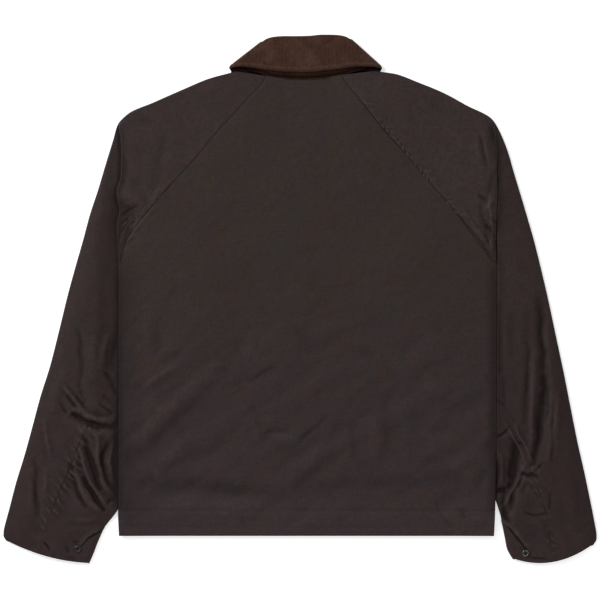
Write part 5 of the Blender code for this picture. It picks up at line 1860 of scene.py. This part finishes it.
@dataclass
class Collar:
    """The corduroy collar: the leaf with its roll, and the stand under it."""

    axis: float = 5.5
    leaf_reach: float = 5.75
    stand_reach: float = 0.8
    tilt: float = 0.3
    underturn: float = 9.0
    seam_gap: float = 0.03
    stations: int = 480
    leaf_columns: int = 30
    leaf_grading: float = 0.45
    roll_degrees: tuple[float, ...] = (75, 60, 45, 30, 15, 0, -15, -30, -45, -60, -75)
    stand_columns: int = 26
    tucked: float = 3.0
    corner_pinch: float = 4.0
    edge_roll: float = 4.0
    stitch_in: float = 6.5
    ridge_pitch: float = 2.6
    ridged: float = 13.0
    most_dark: float = 0.97

    def face(self) -> Band:
        """The collar's face at every station: over the leaf, round the roll, down the stand.

        Returns:
            The face as a band, with a row for each station.
        """
        rows = finer(COLLAR, COLLAR_COLUMNS, self.stations)
        turn = np.radians(rows["turn"])
        sine, cosine = np.sin(turn), np.cos(turn)
        sign = np.where(np.arange(self.stations) < self.stations // 2, -1.0, 1.0)
        normal = np.column_stack([0.65 * sign * sine, 0.76 * sine, cosine])
        edge, roll, neck = (pair(rows, name) for name in ("edge", "roll", "neck"))
        roll = roll - self.corner_pinch * normal[:, :2]
        tucked = self.tucked * ramp(np.abs(neck[:, 0]), 70, 50) * (cosine > 0.9)
        neck = neck - np.column_stack([np.zeros(self.stations), tucked])
        leaf = self.leaf_reach + (self.leaf_reach - self.axis) * cosine
        stand = self.stand_reach - self.tilt * cosine
        length = np.linalg.norm(roll - edge, axis=1)
        share = graded(self.leaf_columns, self.leaf_grading)
        rise = rows["rise"][:, None] * np.sin(math.pi * (1 + share) / 2)
        from_edge = share * length[:, None]
        rise = rise - 1.5 * np.clip(1 - from_edge / self.edge_roll, 0, 1) ** 2
        rise = rise - 0.30 * bell(from_edge - self.stitch_in, 0.9)
        plan = sagged(edge, roll, share)
        up = cosine[:, None] > 0.5
        rise = rise + np.where(up, 0.35 * CORD_WAVES(plan[..., 0], plan[..., 1]), 0.0) * (1 - share)
        leaf_points = self._raised(plan, normal, leaf[:, None] + rise)
        toward = np.column_stack([(roll - edge) / length[:, None], np.zeros(self.stations)])
        angles = np.radians(self.roll_degrees)[None, :, None]
        radial = toward[:, None] * np.cos(angles) + normal[:, None] * np.sin(angles)
        axis = np.column_stack([roll, np.full(self.stations, self.axis)])
        axis = axis + normal * ((leaf + stand) / 2)[:, None]
        roll_points = axis[:, None] + radial * ((leaf - stand) / 2)[:, None, None]
        length = np.linalg.norm(neck - roll, axis=1)[:, None]
        cut, gap = self.underturn / length, self.seam_gap / length
        rest = cut + gap + (1 - cut - gap) * np.linspace(0, 1, self.stand_columns)
        share = np.concatenate([np.zeros((self.stations, 1)), cut - gap, rest], axis=1)
        from_neck = (1 - share) * length
        ridges = 0.45 * np.cos(2 * math.pi * (from_neck - 0.6) / self.ridge_pitch)
        ridges = ridges * (from_neck < self.ridged) * up
        stand_points = self._raised(sagged(roll, neck, share), normal, stand[:, None] + ridges * 0.6)
        return Band.join([
            Band(leaf_points, np.broadcast_to(normal[:, None], leaf_points.shape)),
            Band(roll_points, radial),
            Band(stand_points, np.broadcast_to(-normal[:, None], stand_points.shape)),
        ])

    def _raised(self, plan: Array, normal: Array, height: Array) -> Array:
        """Places on the collar's middle plane, moved along each station's normal.

        Args:
            plan: the places in plan.
            normal: each station's normal.
            height: how far each place is moved.

        Returns:
            The points.
        """
        base = np.concatenate([plan, np.full((*plan.shape[:2], 1), self.axis)], axis=-1)
        return base + normal[:, None] * height[..., None]

    def build(self) -> None:
        """Makes the leaf and the stand."""
        points, normals, (ids,) = Band.stack((self.face(),))
        split = self.leaf_columns + len(self.roll_degrees) + 2
        values = self._values(points, normals, ids.shape[1], split)
        pieces = (
            ("leaf", CORD, ids[:, :split], (0.46, 0.085), 0.034, "folded"),
            ("stand", STAND_CORD, ids[:, split:], (0.38, 0.05), 0.014, "laid"),
        )
        for name, finish, part, flat, area, held in pieces:
            cloth = Cloth(f"cord_{name}", f"collar_{name}", flat, area, held, ("back_panel",),
                          finish, Slot.CORD, 2.0, True)
            cloth.build(points, normals, quads_of(part), values)

    def _values(self, points: Array, normals: Array, width: int, split: int) -> dict[str, Array]:
        """The wales' places, a paler band along the stitched edge with painted highlights on the leaf's
        steep sides, and painted shade on the stand and in front.

        Args:
            points: the collar's points.
            normals: the way each faces.
            width: how many points a station has.
            split: how many of them are the leaf's.

        Returns:
            Named numbers for each point.
        """
        x, y = points[:, 0], points[:, 1]
        columns = np.tile(np.arange(width), self.stations)
        rows = finer(COLLAR, COLLAR_COLUMNS, self.stations)
        # Painted shade: the stand under the leaf, darker at its ends and along the neck seam, the leaf's
        # lower edge, and the turned-under front.
        ends = ramp(np.abs(x), 66, 84)
        across = np.linspace(0, 1, self.stand_columns)
        seam = 0.4 * bell((1 - across) * 47 - 4.0, 1.6)
        dark = np.concatenate([np.zeros(split), 0.62 + seam])
        soil = dark[columns] + np.where(columns >= split, 0.36 * ends, 0.0)
        soil = np.where(columns < 8, 0.30 * ramp(columns, 6, 0), np.minimum(soil, 1.0))
        turned = np.repeat(rows["turn"], width)
        hidden = np.where(columns < split - 2, ramp(turned, 84, 104), smooth(turned / 30))
        soil = np.maximum(soil, self.most_dark * hidden * ramp(y, 640, 660))
        length = np.hypot(*(pair(rows, "roll") - pair(rows, "edge")).T)
        from_edge = np.full((self.stations, width), 99.0)
        from_edge[:, : self.leaf_columns] = (
            length[:, None] * graded(self.leaf_columns, self.leaf_grading))
        # Paler along the stitched edge, and painted highlights on the leaf's steep sides.
        band = np.exp(-(((from_edge.reshape(-1) - 4.6) / 2.2) ** 4))
        wavy = 0.75 + 0.25 * np.sin(x * 2 * math.pi / 9.0)
        steep = smooth((0.85 - normals[:, 2]) / 0.4) * (normals[:, 2] > -0.3)
        wear = np.maximum(0.7 * band * wavy, 0.9 * steep * (columns < split))
        return {"wale": x, "wear": wear, "soil": soil}


CORD_WAVES = Crumple(41, 30, 16, 0, 1.0)


@dataclass
class Stitching:
    """Rows of small stitches along lines on the cloth."""

    name: str
    finish: Finish
    slot: Slot
    length: float = 2.6
    pitch: float = 3.4
    width: float = 0.55
    proud: float = 0.32
    bulges: tuple[float, ...] = (0.25, 0.85, 1.0, 0.85, 0.25)
    corners: int = 6
    parts: list[Array] = field(default_factory=list, init=False)

    def add(self, line: Array, height: Height) -> None:
        """Lays stitches along a line, each a small mound.

        Args:
            line: points in plan along the line.
            height: the cloth's top.
        """
        steps = np.linalg.norm(np.diff(line, axis=0), axis=1)
        along = np.concatenate([[0.0], np.cumsum(steps)])
        starts = np.arange(self.pitch / 2, along[-1] - self.length, self.pitch)
        t = starts[:, None] + np.linspace(0, self.length, len(self.bulges))
        x, y = np.interp(t, along, line[:, 0]), np.interp(t, along, line[:, 1])
        self.lay(x, y, np.full(len(t), self.width), np.full(len(t), self.proud), height, 0.12)

    def lay(self, x: Array, y: Array, width: Array, proud: Array, height: Height, sunk: float) -> None:
        """Lays long mounds along rows of places, as many as there are bulges.

        Args:
            x: the places' distances from the centre back, a row for each mound.
            y: their heights above the hem.
            width: each mound's width.
            proud: how far each stands up.
            height: the cloth's top.
            sunk: how far below it their axes lie.
        """
        way = unit(np.stack([x[:, -1] - x[:, 0], y[:, -1] - y[:, 0]], axis=1))
        z = height(x, y) - sunk
        rings = []
        for angle in np.radians(np.arange(self.corners) * 360 / self.corners):
            side = math.cos(angle) * width[:, None] / 2 * self.bulges
            lift = math.sin(angle) * proud[:, None] * self.bulges
            rings.append(np.stack([x - way[:, 1:] * side, y + way[:, :1] * side, z + lift], axis=-1))
        count = len(self.bulges) * self.corners
        self.parts.append(np.stack(rings, axis=2).reshape(-1, count, 3))

    def build(self) -> None:
        """Makes all the stitches as one piece."""
        points = np.concatenate(self.parts)
        count, last = points.shape[1], points.shape[1] - self.corners
        ring, corner = np.meshgrid(
            np.arange(len(self.bulges) - 1), np.arange(self.corners), indexing="ij")
        here = ring * self.corners + corner
        after = ring * self.corners + (corner + 1) % self.corners
        sides = np.stack([here, here + self.corners, after + self.corners, after], axis=-1)
        caps = np.array([[0, 1, 2, 3], [0, 3, 4, 5]])
        quads = np.concatenate([sides.reshape(-1, 4), caps, last + caps[:, ::-1]])
        faces = (quads[None] + count * np.arange(len(points))[:, None, None]).reshape(-1, 4)
        add_mesh(self.name, points.reshape(-1, 3), faces[:, ::-1], self.finish)


@dataclass
class CuffStud:
    """A ring-topped press stud on a cuff, with a dark disc in its dished middle as painted shade."""

    side: Side
    radius: float = 5.1
    height: float = 2.2
    dish: float = 1.1
    gap: float = 0.4
    sides: int = 64

    def build(self) -> None:
        """Makes the ring, and the dark disc of painted shade in its hollow."""
        r, h = self.radius, self.height
        low = h - self.dish
        ring = (
            (0.0, 0.0), (r - 0.7, 0.0), (r - 0.2, 0.15), (r, 0.5), (r, h - 1.1), (r - 0.15, h - 0.65),
            (r - 0.55, h - 0.25), (r - 1.1, h - 0.03), (r - 1.5, h), (r - 1.9, h - 0.1),
            (r - 2.3, h - 0.35), (r - 2.6, low + 0.2), (r - 2.7, low), (0.0, low),
        )
        centre = np.array([*CUFF_STUDS[self.side], LAY.pad_height + self.gap])
        # The left stud takes the darker copy of the metal: painted shade.
        finish = STUD_SHADED if self.side is Side.LEFT else STUD
        stud = self._turned(f"stud_ring_{self.side.value}", centre, ring, finish)
        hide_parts(f"cuff_stud_{self.side.value}")
        # A near-black disc on the floor of the dish: painted shade.
        dark_disc = ((0.0, low - 0.4), (r - 2.75, low - 0.4), (r - 2.75, low + 0.04), (0.0, low + 0.04))
        self._turned(f"stud_hollow_{self.side.value}", centre, dark_disc, STUD_HOLLOW_SHADE)

    def _turned(self, name: str, centre: Array, profile: tuple, finish: Finish) -> bpy.types.Object:
        """A closed round body from rows of radius and height, bottom centre to top centre.

        Args:
            name: the body's name.
            centre: the middle of its foot.
            profile: its rows.
            finish: what it is dressed in.

        Returns:
            The body.
        """
        angles = np.arange(self.sides) * 2 * math.pi / self.sides
        rows = np.array(profile[1:-1])
        circle = np.column_stack([np.cos(angles), np.sin(angles)])
        rings = np.concatenate([
            rows[:, None, :1] * circle, np.broadcast_to(rows[:, None, 1:], (len(rows), self.sides, 1)),
        ], axis=-1).reshape(-1, 3)
        ends = np.array([[0.0, 0.0, profile[0][1]], [0.0, 0.0, profile[-1][1]]])
        points = np.concatenate([rings, ends]) + centre
        ids = np.arange(len(rings)).reshape(len(rows), self.sides)
        after = np.roll(ids, -1, axis=1)
        sides = np.stack([ids[:-1], after[:-1], after[1:], ids[1:]], axis=-1).reshape(-1, 4)
        triangles = np.concatenate([sides[:, [0, 1, 2]], sides[:, [0, 2, 3]]])
        bottom = np.full(self.sides, len(rings))
        triangles = np.concatenate([
            triangles,
            np.stack([bottom, after[0], ids[0]], axis=1),
            np.stack([bottom + 1, ids[-1], after[-1]], axis=1),
        ])
        return add_mesh(name, points, triangles, finish, sharp=50.0)


@dataclass
class Studio:
    """The pale surface, the soft light and the camera. Lengths are in metres."""

    view_width: float = 0.870
    distance: float = 4.0
    look_height: float = 0.008
    centre: tuple[float, float] = (-0.00047, 0.0001)
    film: float = 36.0
    half: float = 3.0
    below: float = 0.0004
    sky: float = 0.32

    def build(self) -> None:
        """Sets up the floor, the lights, the world and the camera."""
        mesh = bpy.data.meshes.new("floor")
        corners = [(x * self.half, y * self.half, 0) for x, y in ((-1, -1), (1, -1), (1, 1), (-1, 1))]
        mesh.from_pydata(corners, [], [(0, 1, 2, 3)])
        mesh.materials.append(FLOOR.make())
        floor = in_scene("floor", mesh)
        floor.location.z = -self.below
        self._light("key", (-1.7, 1.25, 1.7), 1.1, 48.0)
        self._light("fill", (1.2, 0.4, 2.2), 2.2, 10.0)
        self._light("low", (-0.2, -1.9, 1.6), 1.6, 13.0)
        world = bpy.data.worlds.new("studio")
        world.use_nodes = True
        background = world.node_tree.nodes["Background"]
        background.inputs["Color"].default_value = (1.0, 1.0, 1.0, 1.0)
        background.inputs["Strength"].default_value = self.sky
        camera = bpy.data.cameras.new("camera")
        camera.sensor_width = self.film
        camera.lens = self.film * (self.distance - self.look_height) / self.view_width
        camera.clip_end = 20.0
        eye = in_scene("camera", camera)
        eye.location = (*self.centre, self.distance)
        scene = bpy.context.scene
        scene.world = world
        scene.view_settings.view_transform = "Standard"
        scene.camera = eye

    @staticmethod
    def _light(name: str, place: tuple[float, float, float], size: float, power: float) -> None:
        """A square soft light that looks at the middle of the jacket.

        Args:
            name: the light's name.
            place: where it hangs.
            size: how wide it is.
            power: its power in watts.
        """
        lamp = bpy.data.lights.new(name, "AREA")
        lamp.size = size
        lamp.energy = power
        obj = in_scene(name, lamp)
        obj.location = place
        x, y, z = (-value for value in place)
        turn = math.atan2(y, x) - math.pi / 2
        obj.rotation_euler = (math.atan2(math.hypot(x, y), -z), 0.0, turn)


def sew() -> None:
    """The visible stitches: the hem's two rows, the raglan seams' easing, with crests in a lighter copy of
    the cloth as painted highlight and dark patches as painted shade, and the collar's row.
    """
    wax = Stitching("wax_stitches", THREAD, Slot.WAX)
    x = np.linspace(-268, 268, 200)
    for y in HEM_ROWS:
        wax.add(np.column_stack([x, np.full(len(x), y)]), cloth_top)
    wax.build()
    for name, finish in (("crests", LIT_CREST_WAX), ("hollows", SHADE_PATCH_WAX)):
        rows = table(PUCKERS[name], PUCKER_COLUMNS)
        t = np.linspace(-0.5, 0.5, 5) * rows["length"][:, None]
        way = np.radians(rows["turn"])[:, None]
        x, y = rows["x"][:, None] + np.cos(way) * t, rows["y"][:, None] + np.sin(way) * t
        eased = Stitching(f"seam_{name}", finish, Slot.WAX)
        eased.lay(x, y, rows["width"], rows["height"], cloth_top, 0.1)
        eased.build()
    collar = Collar()
    rows = finer(COLLAR, COLLAR_COLUMNS, 400)
    top = rows["turn"] < 1
    edge, roll = pair(rows, "edge")[top], pair(rows, "roll")[top]
    length = np.linalg.norm(roll - edge, axis=1)[:, None]
    line = edge + (roll - edge) / length * collar.stitch_in
    rise = rows["rise"][top] * np.cos(math.pi / 2 * collar.stitch_in / length[:, 0])
    order = np.argsort(line[:, 0])
    line, level = line[order], (2 * collar.leaf_reach + rise - 0.25)[order]

    def leaf_top(x: Array, y: Array) -> Array:
        """The leaf's top along its stitched line."""
        return np.interp(x, line[:, 0], level) + 0.35 * 0.85 * CORD_WAVES(x, y)

    cord = Stitching("cord_stitches", CORD_THREAD, Slot.CORD, length=2.4, pitch=3.2)
    cord.add(line, leaf_top)
    cord.build()


def main() -> None:
    """Builds the jacket piece by piece, then the studio."""
    logging.basicConfig(level=logging.INFO, format="%(message)s")
    for side in Side:
        Sleeve(side).build()
        Front(side).build()
    Back().build()
    Collar().build()
    sew()
    for side in Side:
        CuffStud(side).build()
    for name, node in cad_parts.items():
        if name.startswith("front_stud"):
            node.data.materials.clear()
            node.data.materials.append(STUD.make())
    Studio().build()


if __name__ == "__main__":
    main()
